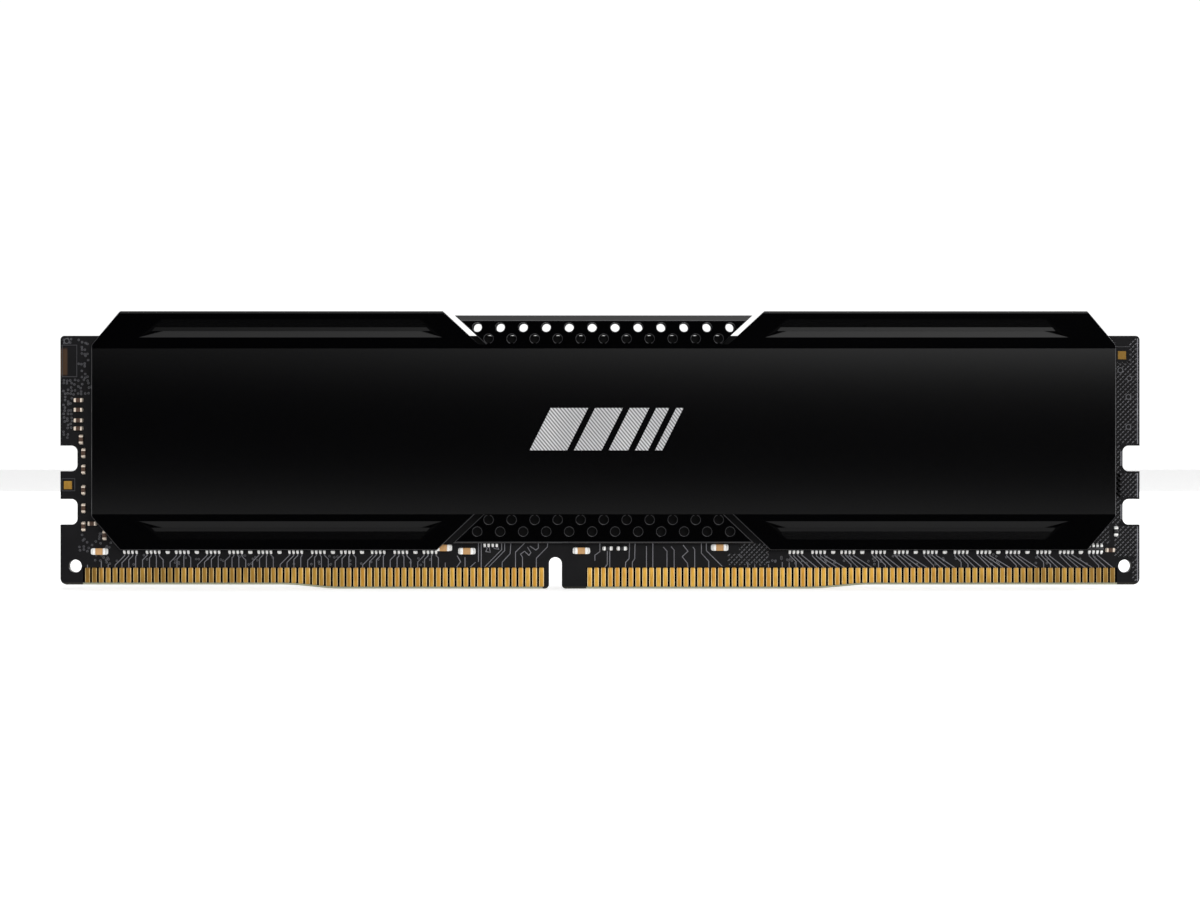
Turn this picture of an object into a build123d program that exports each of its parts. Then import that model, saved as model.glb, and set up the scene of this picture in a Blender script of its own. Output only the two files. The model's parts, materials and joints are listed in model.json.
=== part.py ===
from build123d import *

import os

# Memory module for a desktop computer: a circuit board with edge contacts, sixteen memory chips,
# their small passive parts, and a black heat spreader half taped to the chips on each face.
# Frame: +X along the board, +Y from the front face to the rear face, +Z up from the contact edge.
# Origin: middle of the contact edge, on the board's mid-plane. All sizes are in millimetres.

TOUCH = 0.01  # selectors take places closer together than this as the same

# ---- circuit board
BOARD_LENGTH = 133.35
BOARD_HEIGHT = 31.25
BOARD_THICKNESS = 1.4
END_EDGE = 0.5  # the contact edge is this much higher at both ends than in the middle
LEFT_RAMP = (-39.2, -32.1)  # where the edge comes down, from left to right
RIGHT_RAMP = (25.8, 33.6)  # where it goes up again
EDGE_BEVEL = 0.25
NOTCH_HEIGHTS = (9.5, 16.1)  # centres of the latch notches in both ends
NOTCH_DEPTH = 2.1
NOTCH_WIDTH = 3.16
NOTCH_RADIUS = 0.75
KEY_X = -5.52
KEY_WIDTH = 1.6
KEY_TOP = 3.9
KEY_MOUTH_RADIUS = 0.5
BOTTOM_CORNER = 0.8
TOP_CORNER = 0.5
TOOLING_HOLE = (64.85, 2.8)
TOOLING_HOLE_RADIUS = 0.8

# ---- edge contacts
CONTACT_PITCH = 0.85
CONTACT_WIDTH = 0.6
CONTACT_TOP = 2.6
CONTACT_THICKNESS = 0.04
CONTACT_SPAN = 126.65  # from the first contact's centre to the last one's
SHORT_BANK = 67
LONG_BANK = 77

# ---- memory chips
CHIP_WIDTH = 7.5
CHIP_HEIGHT = 11.0
CHIP_Z = 17.5
CHIP_PITCH = 10.2
FIRST_CHIP_X = (-55.0, 27.2)  # first chip of the left group and of the right group
CHIPS_IN_GROUP = 4
BALL_STANDOFF = 0.3
BALL_RADIUS = 0.225
BALL_PITCH = 0.8
BALL_ROWS = 13
BALL_COLUMNS = 3  # on each side of the chip's empty middle
BALL_GROUP_X = 2.4
SUBSTRATE_THICKNESS = 0.2
MOULD_THICKNESS = 0.7

# ---- heat spreader
HALF_THICKNESS = 3.9  # from the board's mid-plane to the band's outer face
TAPE_THICKNESS = 0.75
TAPE_LENGTH = 124.0
TAPE_HEIGHT = 13.0
SPREADER_X = 0.45
HALF_LENGTH = 62.9
SPREADER_TOP = 34.24
SPREADER_BOTTOM = 4.85
BAND_TOP = 29.6
BAND_BOTTOM = 9.25
WING_SLOPE = 0.28  # how far a wing falls back for each millimetre of height
WING_HALF = 59.55  # half the length at the wings' outer edges
SIDE_TOP = 30.05  # where the straight sides end
SIDE_BOTTOM = 8.95
FLANGE_THICKNESS = 1.2
FLANGE_END = 0.35
BEND_RADIUS = 0.45
INNER_BEND_RADIUS = 0.2
WINDOW_TOP_HALF = 19.8  # half the upper window's width at the wings' top edge
WINDOW_TOP_FLOOR = 30.1
WINDOW_TOP_FLOOR_HALF = 15.32
WINDOW_BOTTOM_HALF = 20.5
WINDOW_BOTTOM_FLOOR_HALF = 15.85
EDGE_BREAK = 0.12

# ---- perforated vent strips in the windows
STRIP_STEP = 0.6  # how far a strip stands behind the wings
STRIP_THICKNESS = 1.0
STRIP_TOP = 33.75
STRIP_BOTTOM = 5.65
STRIP_ROOT = 0.6  # how far a strip reaches into the band's body
STRIP_LIP = 0.65
TOP_STRIP_HALF = 18.38  # half width at the strip's free edge
TOP_STRIP_SLANT = 1.084
BOTTOM_STRIP_HALF = 18.55
BOTTOM_STRIP_SLANT = 1.06
VENT_RADIUS = 0.56
VENT_PITCH = 2.83
TOP_VENT_ROWS = ((12, 32.25), (11, 30.84))  # holes in the row, height
BOTTOM_VENT_ROWS = ((11, 8.56), (12, 7.1))

# ---- long recesses pressed into the wings
RECESS_WALL = 0.8  # height of the steep wall beside the band
RECESS_FLOOR = 0.45
RECESS_SLOPE = 1.0
RECESS_DEPTH = 0.7
TOP_RECESS_START = 30.98
BOTTOM_RECESS_START = 8.38
RECESS_INNER_X = 19.85
RECESS_OUTER_X = 57.1
RECESS_END_LEAN = 0.9  # how far an end moves in for each millimetre away from the band
RECESS_END_TAPER = 40.0
RECESS_MARGIN = 2.0  # how far the end-shaping tool reaches past the recess, up and down

# ---- emblem and label
EMBLEM_CENTRE = (0.8, 19.7)
EMBLEM_HEIGHT = 5.2
EMBLEM_LEAN = 2.6
EMBLEM_BARS = (4.6, 3.4, 2.4, 1.6, 0.9)
EMBLEM_GAP = 0.85
PRINT_THICKNESS = 0.05
LABEL_SIZE = (44.0, 13.0)
LABEL_CORNER = 0.8
LABEL_CENTRE = (36.0, 19.4)

# ---- small parts: length over the end caps, width, height, end cap
SIZE_0402 = (1.0, 0.5, 0.5, 0.25)
SIZE_0603 = (1.6, 0.8, 0.6, 0.35)
ARRAY_LENGTH = 2.0
ARRAY_WIDTH = 1.0
ARRAY_HEIGHT = 0.45
ARRAY_PADS = 4
ARRAY_PAD_PITCH = 0.5
ARRAY_PAD_WIDTH = 0.3
ARRAY_PAD_DEPTH = 0.3
ARRAY_Z = 4.95
ARRAY_OFFSETS = (-3.0, -0.2, 3.4)  # from the chip that the arrays serve
WINDOW_ARRAY = (-13.5, 5.8)
SINGLE_OFFSETS = (1.6, 5.2)
EMPTY_SINGLES = (7, 15)  # places in the row of single resistors that a capacitor takes
WINDOW_SINGLES = ((0.95, 4.98), (2.7, 4.98))  # the two that lie lengthways
END_SINGLE = (63.75, 7.1)
EDGE_CAPS_ACROSS = (
    (-64.45, 23.3),
    (-64.45, 22.1),
    (-64.45, 20.8),
    (-64.45, 19.8),
    (-62.75, 8.05),
    (63.05, 4.78),
)
EDGE_CAPS_UPRIGHT = (
    (-64.1, 18.45),
    (-63.8, 16.75),
    (-63.8, 14.75),
    (-63.8, 12.2),
    (-63.8, 9.95),
    (-63.8, 7.7),
    (-61.2, 6.6),
)
BULK_CAPS = ((-61.85, 4.6), (-19.35, 5.05), (-16.45, 4.65), (-2.3, 4.7), (14.8, 5.1))
DECOUPLING_HEIGHTS = (12.6, 17.5, 22.4)
SPD_CENTRE = (5.0, 17.5)
SPD_SIZE = (3.0, 2.0, 0.75)
SPD_PAD = (0.25, 0.4, 0.05)
SPD_PADS_IN_ROW = 4
SPD_PAD_PITCH = 0.5
FIDUCIAL_SIZE = 1.0
FIDUCIALS = ((-65.75, 12.8), (64.5, 28.85))

CHIP_STACK = BALL_STANDOFF + SUBSTRATE_THICKNESS + MOULD_THICKNESS
CHIP_TOP = BOARD_THICKNESS / 2 + CHIP_STACK
BAND_INNER = CHIP_TOP + TAPE_THICKNESS
SHEET = HALF_THICKNESS - BAND_INNER
CHIP_CENTRES = [first + CHIP_PITCH * n for first in FIRST_CHIP_X for n in range(CHIPS_IN_GROUP)]

# Sketches for the front face lie on planes parallel to it: local x is +X, local y is +Z, and they
# grow towards -Y. Rear pieces are the front ones mirrored in the board's mid-plane.
FRONT_FACE = Plane.XZ.offset(BOARD_THICKNESS / 2)


def save(piece, name):
    """Names a finished piece and writes it as parts/NAME.step."""
    piece.label = name
    export_step(piece, f"parts/{name}.step")


def save_both(piece, name):
    """Writes a front piece, and the same piece mirrored on the rear face."""
    save(piece, f"front_{name}")
    save(mirror(piece, about=Plane.XZ), f"rear_{name}")


def edge_height(x):
    """Height of the contact edge at x: a smooth step up to END_EDGE at both ends."""
    if x < KEY_X:
        share = (LEFT_RAMP[1] - x) / (LEFT_RAMP[1] - LEFT_RAMP[0])
    else:
        share = (x - RIGHT_RAMP[0]) / (RIGHT_RAMP[1] - RIGHT_RAMP[0])
    share = min(max(share, 0.0), 1.0)
    return END_EDGE * share * share * (3 - 2 * share)


def wing_face(z):
    """Distance of the sheet's outer face from the mid-plane at height z."""
    past_band = max(z - BAND_TOP, BAND_BOTTOM - z, 0.0)
    return HALF_THICKNESS - WING_SLOPE * past_band


def section(points):
    """Corners in a YZ sketch for (distance from the mid-plane, height) pairs on the front side."""
    return [(-distance, z) for distance, z in points]


os.makedirs("parts", exist_ok=True)

# ---------------------------------------------------------------- circuit board
with BuildPart() as circuit_board:
    half = BOARD_LENGTH / 2
    with BuildSketch(Plane.XZ.offset(-BOARD_THICKNESS / 2)):
        with BuildLine():
            Line((-half, END_EDGE), (LEFT_RAMP[0], END_EDGE))
            Spline((LEFT_RAMP[0], END_EDGE), (LEFT_RAMP[1], 0), tangents=[(1, 0), (1, 0)])
            Line((LEFT_RAMP[1], 0), (RIGHT_RAMP[0], 0))
            Spline((RIGHT_RAMP[0], 0), (RIGHT_RAMP[1], END_EDGE), tangents=[(1, 0), (1, 0)])
            Polyline(
                (RIGHT_RAMP[1], END_EDGE),
                (half, END_EDGE),
                (half, BOARD_HEIGHT),
                (-half, BOARD_HEIGHT),
                (-half, END_EDGE),
            )
        make_face()
    extrude(amount=BOARD_THICKNESS)
    face_edges = circuit_board.faces().filter_by(Axis.Y).edges()
    contact_edges = face_edges.filter_by(lambda e: e.bounding_box().max.Z < END_EDGE + TOUCH)
    chamfer(contact_edges, EDGE_BEVEL)
    with BuildSketch(Plane.XZ.offset(-BOARD_THICKNESS / 2)):
        # key slot, open downwards, with a round top
        with Locations((KEY_X, KEY_TOP - KEY_WIDTH / 2)):
            Circle(KEY_WIDTH / 2)
            Rectangle(KEY_WIDTH, KEY_TOP, align=(Align.CENTER, Align.MAX))
        # latch notches, open sideways
        with Locations(*[(side * half, z) for side in (-1, 1) for z in NOTCH_HEIGHTS]):
            RectangleRounded(2 * NOTCH_DEPTH, NOTCH_WIDTH, NOTCH_RADIUS)
        with Locations((-TOOLING_HOLE[0], TOOLING_HOLE[1]), TOOLING_HOLE):
            Circle(TOOLING_HOLE_RADIUS)
    extrude(amount=BOARD_THICKNESS, mode=Mode.SUBTRACT)
    through_edges = circuit_board.edges().filter_by(Axis.Y)
    key_sides = through_edges.filter_by(lambda e: abs(abs(e.center().X - KEY_X) - KEY_WIDTH / 2) < TOUCH)
    fillet(key_sides.sort_by(Axis.Z)[:2], KEY_MOUTH_RADIUS)
    end_edges = circuit_board.edges().filter_by(Axis.Y).filter_by(lambda e: abs(e.center().X) > half - TOUCH)
    fillet(end_edges.sort_by(Axis.Z)[:2], BOTTOM_CORNER)
    end_edges = circuit_board.edges().filter_by(Axis.Y).filter_by(lambda e: abs(e.center().X) > half - TOUCH)
    fillet(end_edges.sort_by(Axis.Z)[-2:], TOP_CORNER)
save(circuit_board.part, "circuit_board")


# ---------------------------------------------------------------- edge contacts
def contact_bank(first_x, count):
    """One row of plated contacts on the front face, each ending at the bevel below it."""
    with BuildPart() as bank:
        with BuildSketch(FRONT_FACE):
            for n in range(count):
                x = first_x + n * CONTACT_PITCH
                foot = edge_height(x) + EDGE_BEVEL
                with Locations((x, foot)):
                    Rectangle(CONTACT_WIDTH, CONTACT_TOP - foot, align=(Align.CENTER, Align.MIN))
        extrude(amount=CONTACT_THICKNESS)
    return bank.part


save_both(contact_bank(-CONTACT_SPAN / 2, SHORT_BANK), "contacts_left_bank")
save_both(contact_bank(CONTACT_SPAN / 2 - (LONG_BANK - 1) * CONTACT_PITCH, LONG_BANK), "contacts_right_bank")

# ---------------------------------------------------------------- memory chips
for number, x in enumerate(CHIP_CENTRES, start=1):
    with BuildPart() as memory_chip:
        with BuildSketch(FRONT_FACE.offset(BALL_STANDOFF + SUBSTRATE_THICKNESS)):
            with Locations((x, CHIP_Z)):
                Rectangle(CHIP_WIDTH, CHIP_HEIGHT)
        extrude(amount=MOULD_THICKNESS)
    save_both(memory_chip.part, f"memory_chip_{number}")

with BuildPart() as chip_substrates:
    with BuildSketch(FRONT_FACE.offset(BALL_STANDOFF)):
        with Locations(*[(x, CHIP_Z) for x in CHIP_CENTRES]):
            Rectangle(CHIP_WIDTH, CHIP_HEIGHT)
    extrude(amount=SUBSTRATE_THICKNESS)
save_both(chip_substrates.part, "chip_substrates")

with BuildPart() as solder_balls:
    with BuildSketch(FRONT_FACE):
        with Locations(*[(x + side * BALL_GROUP_X, CHIP_Z) for x in CHIP_CENTRES for side in (-1, 1)]):
            with GridLocations(BALL_PITCH, BALL_PITCH, BALL_COLUMNS, BALL_ROWS):
                Circle(BALL_RADIUS)
    extrude(amount=BALL_STANDOFF)
save_both(solder_balls.part, "solder_balls")

# ---------------------------------------------------------------- thermal tape
with BuildPart() as thermal_tape:
    with BuildSketch(Plane.XZ.offset(CHIP_TOP)):
        with Locations((SPREADER_X, CHIP_Z)):
            Rectangle(TAPE_LENGTH, TAPE_HEIGHT)
    extrude(amount=TAPE_THICKNESS)
save_both(thermal_tape.part, "thermal_tape")

# ---------------------------------------------------------------- heat spreader
inner_shift = SHEET * (1 + WING_SLOPE**2) ** 0.5  # the wings' inner face, measured along Y
crease_shift = (inner_shift - SHEET) / WING_SLOPE
flange_floor = SPREADER_TOP - FLANGE_THICKNESS

with BuildPart() as folded_sheet:
    with BuildSketch(Plane.YZ.offset(SPREADER_X - HALF_LENGTH)) as fold:
        Polygon(
            *section(
                [
                    (wing_face(SPREADER_BOTTOM), SPREADER_BOTTOM),
                    (HALF_THICKNESS, BAND_BOTTOM),
                    (HALF_THICKNESS, BAND_TOP),
                    (wing_face(SPREADER_TOP), SPREADER_TOP),
                    (FLANGE_END, SPREADER_TOP),
                    (FLANGE_END, flange_floor),
                    (wing_face(flange_floor) - inner_shift, flange_floor),
                    (BAND_INNER, BAND_TOP - crease_shift),
                    (BAND_INNER, BAND_BOTTOM + crease_shift),
                    (wing_face(SPREADER_BOTTOM) - inner_shift, SPREADER_BOTTOM),
                ]
            ),
            align=None,
        )
        # the bend from each upper wing into the flange above the board
        outer_bend = fold.vertices().filter_by(lambda v: v.Y > SPREADER_TOP - TOUCH).sort_by(Axis.X)[0]
        fillet(outer_bend, BEND_RADIUS)
        inner_bend = fold.vertices().filter_by(lambda v: abs(v.Y - flange_floor) < TOUCH).sort_by(Axis.X)[0]
        fillet(inner_bend, INNER_BEND_RADIUS)
    extrude(amount=2 * HALF_LENGTH)
    with BuildSketch(Plane.XZ) as front_view:
        with Locations((SPREADER_X, 0)):
            Polygon(
                (-HALF_LENGTH, SIDE_BOTTOM),
                (-WING_HALF, SPREADER_BOTTOM),
                (-WINDOW_BOTTOM_HALF, SPREADER_BOTTOM),
                (-WINDOW_BOTTOM_FLOOR_HALF, BAND_BOTTOM),
                (WINDOW_BOTTOM_FLOOR_HALF, BAND_BOTTOM),
                (WINDOW_BOTTOM_HALF, SPREADER_BOTTOM),
                (WING_HALF, SPREADER_BOTTOM),
                (HALF_LENGTH, SIDE_BOTTOM),
                (HALF_LENGTH, SIDE_TOP),
                (WING_HALF, SPREADER_TOP),
                (WINDOW_TOP_HALF, SPREADER_TOP),
                (WINDOW_TOP_FLOOR_HALF, WINDOW_TOP_FLOOR),
                (-WINDOW_TOP_FLOOR_HALF, WINDOW_TOP_FLOOR),
                (-WINDOW_TOP_HALF, SPREADER_TOP),
                (-WING_HALF, SPREADER_TOP),
                (-HALF_LENGTH, SIDE_TOP),
                align=None,
            )
    extrude(amount=HALF_THICKNESS + 1, mode=Mode.INTERSECT)


def vent_strip(root_z, free_z, free_half, slant, lip):
    """A perforated strip that stands behind the wings, from inside the band's body to its free edge."""
    outward = 1 if free_z > root_z else -1
    back = STRIP_THICKNESS * (1 + WING_SLOPE**2) ** 0.5
    root_face = HALF_THICKNESS - STRIP_STEP
    free_face = wing_face(free_z) - STRIP_STEP
    root_inside = root_z - outward * STRIP_ROOT
    with BuildPart() as strip:
        with BuildSketch(Plane.YZ.offset(SPREADER_X - free_half)):
            Polygon(
                *section(
                    [
                        (root_face, root_inside),
                        (root_face, root_z),
                        (free_face + WING_SLOPE * lip, free_z - outward * lip),
                        (free_face - lip, free_z),
                        (free_face - back, free_z),
                        (root_face - back, root_z),
                        (BAND_INNER, root_inside),
                    ]
                ),
                align=None,
            )
        extrude(amount=2 * free_half)
        root_half = free_half - slant * abs(free_z - root_inside)
        with BuildSketch(Plane.XZ):
            with Locations((SPREADER_X, 0)):
                Polygon(
                    (-root_half, root_inside),
                    (root_half, root_inside),
                    (free_half, free_z),
                    (-free_half, free_z),
                    align=None,
                )
        extrude(amount=HALF_THICKNESS, mode=Mode.INTERSECT)
    return strip.part


def wing_recess(start_z, outward):
    """Tool for one long recess to the right of the middle: a steep wall beside the band, a floor parallel
    to the board and a long slope that runs out to the wing's face."""
    floor_z = start_z + outward * RECESS_WALL
    slope_z = floor_z + outward * RECESS_FLOOR
    end_z = slope_z + outward * RECESS_SLOPE
    floor_face = wing_face(start_z) - RECESS_DEPTH
    clear = HALF_THICKNESS + 1
    reach = RECESS_WALL + RECESS_FLOOR + RECESS_SLOPE + RECESS_MARGIN
    near_z = start_z - outward * RECESS_MARGIN
    far_z = start_z + outward * reach
    spread = RECESS_END_LEAN * RECESS_MARGIN
    lean = RECESS_END_LEAN * reach
    with BuildPart() as recess:
        with BuildSketch(Plane.YZ.offset(SPREADER_X + RECESS_INNER_X)):
            Polygon(
                *section(
                    [
                        (clear, start_z),
                        (wing_face(start_z), start_z),
                        (floor_face, floor_z),
                        (floor_face, slope_z),
                        (wing_face(end_z), end_z),
                        (clear, end_z),
                    ]
                ),
                align=None,
            )
        extrude(amount=RECESS_OUTER_X - RECESS_INNER_X)
        # the ends lean in towards the recess's outer side and towards its floor
        with BuildSketch(Plane.XZ.offset(wing_face(start_z))):
            with Locations((SPREADER_X, 0)):
                Polygon(
                    (RECESS_INNER_X - spread, near_z),
                    (RECESS_OUTER_X + spread, near_z),
                    (RECESS_OUTER_X - lean, far_z),
                    (RECESS_INNER_X + lean, far_z),
                    align=None,
                )
        extrude(amount=-2 * RECESS_DEPTH, taper=RECESS_END_TAPER, mode=Mode.INTERSECT)
    return recess.part


def vents(rows):
    """Tool for the round holes through a strip."""
    with BuildPart() as holes:
        with BuildSketch(Plane.XZ):
            for count, z in rows:
                with Locations((SPREADER_X, z)):
                    with GridLocations(VENT_PITCH, 1, count, 1):
                        Circle(VENT_RADIUS)
        extrude(amount=HALF_THICKNESS + 1)
    return holes.part


right_recesses = [wing_recess(TOP_RECESS_START, 1), wing_recess(BOTTOM_RECESS_START, -1)]
spreader_middle = Plane.YZ.offset(SPREADER_X)
with BuildPart() as heat_spreader:
    add(folded_sheet.part)
    add(vent_strip(BAND_TOP, STRIP_TOP, TOP_STRIP_HALF, TOP_STRIP_SLANT, STRIP_LIP))
    add(vent_strip(BAND_BOTTOM, STRIP_BOTTOM, BOTTOM_STRIP_HALF, BOTTOM_STRIP_SLANT, EDGE_BREAK))
    add(vents(TOP_VENT_ROWS), mode=Mode.SUBTRACT)
    add(vents(BOTTOM_VENT_ROWS), mode=Mode.SUBTRACT)
    for recess in right_recesses:
        add(recess, mode=Mode.SUBTRACT)
        add(mirror(recess, about=spreader_middle), mode=Mode.SUBTRACT)
save_both(heat_spreader.part, "heat_spreader")

# ---------------------------------------------------------------- emblem and label
with BuildPart() as emblem:
    total = sum(EMBLEM_BARS) + EMBLEM_GAP * (len(EMBLEM_BARS) - 1)
    with BuildSketch(Plane.XZ.offset(HALF_THICKNESS)):
        left = EMBLEM_CENTRE[0] - (total + EMBLEM_LEAN) / 2
        low = EMBLEM_CENTRE[1] - EMBLEM_HEIGHT / 2
        for width in EMBLEM_BARS:
            with Locations((left, low)):
                Polygon(
                    (0, 0),
                    (width, 0),
                    (width + EMBLEM_LEAN, EMBLEM_HEIGHT),
                    (EMBLEM_LEAN, EMBLEM_HEIGHT),
                    align=None,
                )
            left += width + EMBLEM_GAP
    extrude(amount=PRINT_THICKNESS)
save(emblem.part, "front_emblem")
# the rear half is the same pressing turned round, so its emblem leans the other way in this frame
save(mirror(mirror(emblem.part, about=Plane.XZ), about=Plane.YZ.offset(SPREADER_X)), "rear_emblem")

with BuildPart() as rear_label:
    with BuildSketch(Plane.XZ.offset(-HALF_THICKNESS)):
        with Locations(LABEL_CENTRE):
            RectangleRounded(*LABEL_SIZE, LABEL_CORNER)
    extrude(amount=-PRINT_THICKNESS)
save(rear_label.part, "rear_label")


# ---------------------------------------------------------------- small parts
def end_capped(size, across=(), upright=()):
    """Bodies and end caps of two-terminal parts, lying along X or standing along Z."""
    length, width, height, cap = size
    with BuildPart() as bodies:
        with BuildSketch(FRONT_FACE):
            if across:
                with Locations(*across):
                    Rectangle(length - 2 * cap, width)
            if upright:
                with Locations(*upright):
                    Rectangle(width, length - 2 * cap)
        extrude(amount=height)
    reach = (length - cap) / 2
    with BuildPart() as caps:
        with BuildSketch(FRONT_FACE):
            if across:
                with Locations(*[(x + side * reach, z) for x, z in across for side in (-1, 1)]):
                    Rectangle(cap, width)
            if upright:
                with Locations(*[(x, z + side * reach) for x, z in upright for side in (-1, 1)]):
                    Rectangle(width, cap)
        extrude(amount=height)
    return bodies.part, caps.part


def resistor_arrays():
    """Bodies and side pads of the four-way resistor arrays above the contacts."""
    centres = [(x + offset, ARRAY_Z) for x in CHIP_CENTRES for offset in ARRAY_OFFSETS] + [WINDOW_ARRAY]
    with BuildPart() as bodies:
        with BuildSketch(FRONT_FACE):
            with Locations(*centres):
                Rectangle(ARRAY_LENGTH, ARRAY_WIDTH - 2 * ARRAY_PAD_DEPTH)
        extrude(amount=ARRAY_HEIGHT)
    reach = (ARRAY_WIDTH - ARRAY_PAD_DEPTH) / 2
    with BuildPart() as pads:
        with BuildSketch(FRONT_FACE):
            with Locations(*[(x, z + side * reach) for x, z in centres for side in (-1, 1)]):
                with GridLocations(ARRAY_PAD_PITCH, 1, ARRAY_PADS, 1):
                    Rectangle(ARRAY_PAD_WIDTH, ARRAY_PAD_DEPTH)
        extrude(amount=ARRAY_HEIGHT)
    return bodies.part, pads.part


array_bodies, array_pads = resistor_arrays()
save_both(array_bodies, "resistor_array_bodies")
save_both(array_pads, "resistor_array_pads")

places = [(x + offset, ARRAY_Z) for x in CHIP_CENTRES for offset in SINGLE_OFFSETS]
single_places = [place for number, place in enumerate(places) if number not in EMPTY_SINGLES]
single_bodies, single_caps = end_capped(SIZE_0402, WINDOW_SINGLES, (*single_places, END_SINGLE))
save_both(single_bodies, "single_resistor_bodies")
save_both(single_caps, "single_resistor_caps")

edge_bodies, edge_caps = end_capped(SIZE_0402, EDGE_CAPS_ACROSS, EDGE_CAPS_UPRIGHT)
save(edge_bodies, "front_edge_capacitor_bodies")
save(edge_caps, "front_edge_capacitor_caps")

bulk_bodies, bulk_caps = end_capped(SIZE_0603, across=BULK_CAPS)
save_both(bulk_bodies, "bulk_capacitor_bodies")
save_both(bulk_caps, "bulk_capacitor_caps")

gap_centres = [first + CHIP_PITCH * (n + 0.5) for first in FIRST_CHIP_X for n in range(CHIPS_IN_GROUP - 1)]
gap_places = [(x, z) for x in gap_centres for z in DECOUPLING_HEIGHTS]
gap_bodies, gap_caps = end_capped(SIZE_0402, across=gap_places)
save_both(gap_bodies, "decoupling_capacitor_bodies")
save_both(gap_caps, "decoupling_capacitor_caps")

with BuildPart() as spd_memory:
    with BuildSketch(Plane.XZ.offset(-BOARD_THICKNESS / 2 - SPD_PAD[2])):
        with Locations(SPD_CENTRE):
            Rectangle(SPD_SIZE[0], SPD_SIZE[1])
    extrude(amount=-SPD_SIZE[2])
save(spd_memory.part, "rear_spd_memory")

with BuildPart() as spd_pads:
    with BuildSketch(Plane.XZ.offset(-BOARD_THICKNESS / 2)):
        with Locations(SPD_CENTRE):
            with GridLocations(SPD_PAD_PITCH, SPD_SIZE[1] - SPD_PAD[1], SPD_PADS_IN_ROW, 2):
                Rectangle(SPD_PAD[0], SPD_PAD[1])
    extrude(amount=-SPD_PAD[2])
save(spd_pads.part, "rear_spd_pads")

with BuildPart() as fiducial_pads:
    with BuildSketch(FRONT_FACE):
        with Locations(*FIDUCIALS):
            Rectangle(FIDUCIAL_SIZE, FIDUCIAL_SIZE)
    extrude(amount=CONTACT_THICKNESS)
save_both(fiducial_pads.part, "fiducial_pads")
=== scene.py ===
"""Looks for a desktop memory module: board, contacts, chips, small parts and heat spreader halves.

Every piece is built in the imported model's frame: +X along the board, +Y from the front face to the
rear face, +Z up from the contact edge. Sizes in the classes below are in millimetres.
"""

import json
import logging
import math
from dataclasses import dataclass, field
from enum import Enum
from typing import Callable, Sequence

import bmesh
import bpy
import numpy as np
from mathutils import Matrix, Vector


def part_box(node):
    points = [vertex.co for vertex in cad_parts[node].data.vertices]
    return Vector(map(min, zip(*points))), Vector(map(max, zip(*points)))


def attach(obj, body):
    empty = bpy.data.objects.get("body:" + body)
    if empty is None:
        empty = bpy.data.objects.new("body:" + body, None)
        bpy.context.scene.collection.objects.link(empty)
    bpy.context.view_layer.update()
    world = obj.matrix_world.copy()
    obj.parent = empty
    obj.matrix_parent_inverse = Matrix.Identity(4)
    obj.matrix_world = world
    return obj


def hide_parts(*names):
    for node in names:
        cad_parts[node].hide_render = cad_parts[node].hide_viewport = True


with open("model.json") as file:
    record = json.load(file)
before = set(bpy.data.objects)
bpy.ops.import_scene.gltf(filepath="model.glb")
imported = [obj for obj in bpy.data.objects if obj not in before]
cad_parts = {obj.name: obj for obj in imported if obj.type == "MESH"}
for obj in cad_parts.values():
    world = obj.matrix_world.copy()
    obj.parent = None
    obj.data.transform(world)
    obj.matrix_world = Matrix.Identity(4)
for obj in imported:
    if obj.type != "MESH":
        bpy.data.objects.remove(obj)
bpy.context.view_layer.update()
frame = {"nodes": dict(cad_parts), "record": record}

LOG = logging.getLogger("memory_module")
MM = 0.001
BODY = "root"
Points = np.ndarray
Faces = list[tuple[int, ...]]


class Side(Enum):
    """Which face of the board a piece stands on; the value is the sign of its Y."""

    FRONT = -1
    REAR = 1

    @property
    def prefix(self) -> str:
        """The name that this side's nodes start with."""
        return self.name.lower()


class Slot(Enum):
    """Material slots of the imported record."""

    BOARD = "board_laminate"
    GOLD = "gold_contacts"
    SPREADER = "black_anodised"
    MOULD = "mould_compound"
    SUBSTRATE = "chip_substrate"
    SOLDER = "solder"
    TAPE = "thermal_tape"
    FOIL = "silver_foil"
    LABEL = "label_film"
    RESISTOR = "resistor_ceramic"
    CAPACITOR = "capacitor_ceramic"
    TIN = "tin_caps"


# ------------------------------------------------------------------ shader nodes


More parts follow.
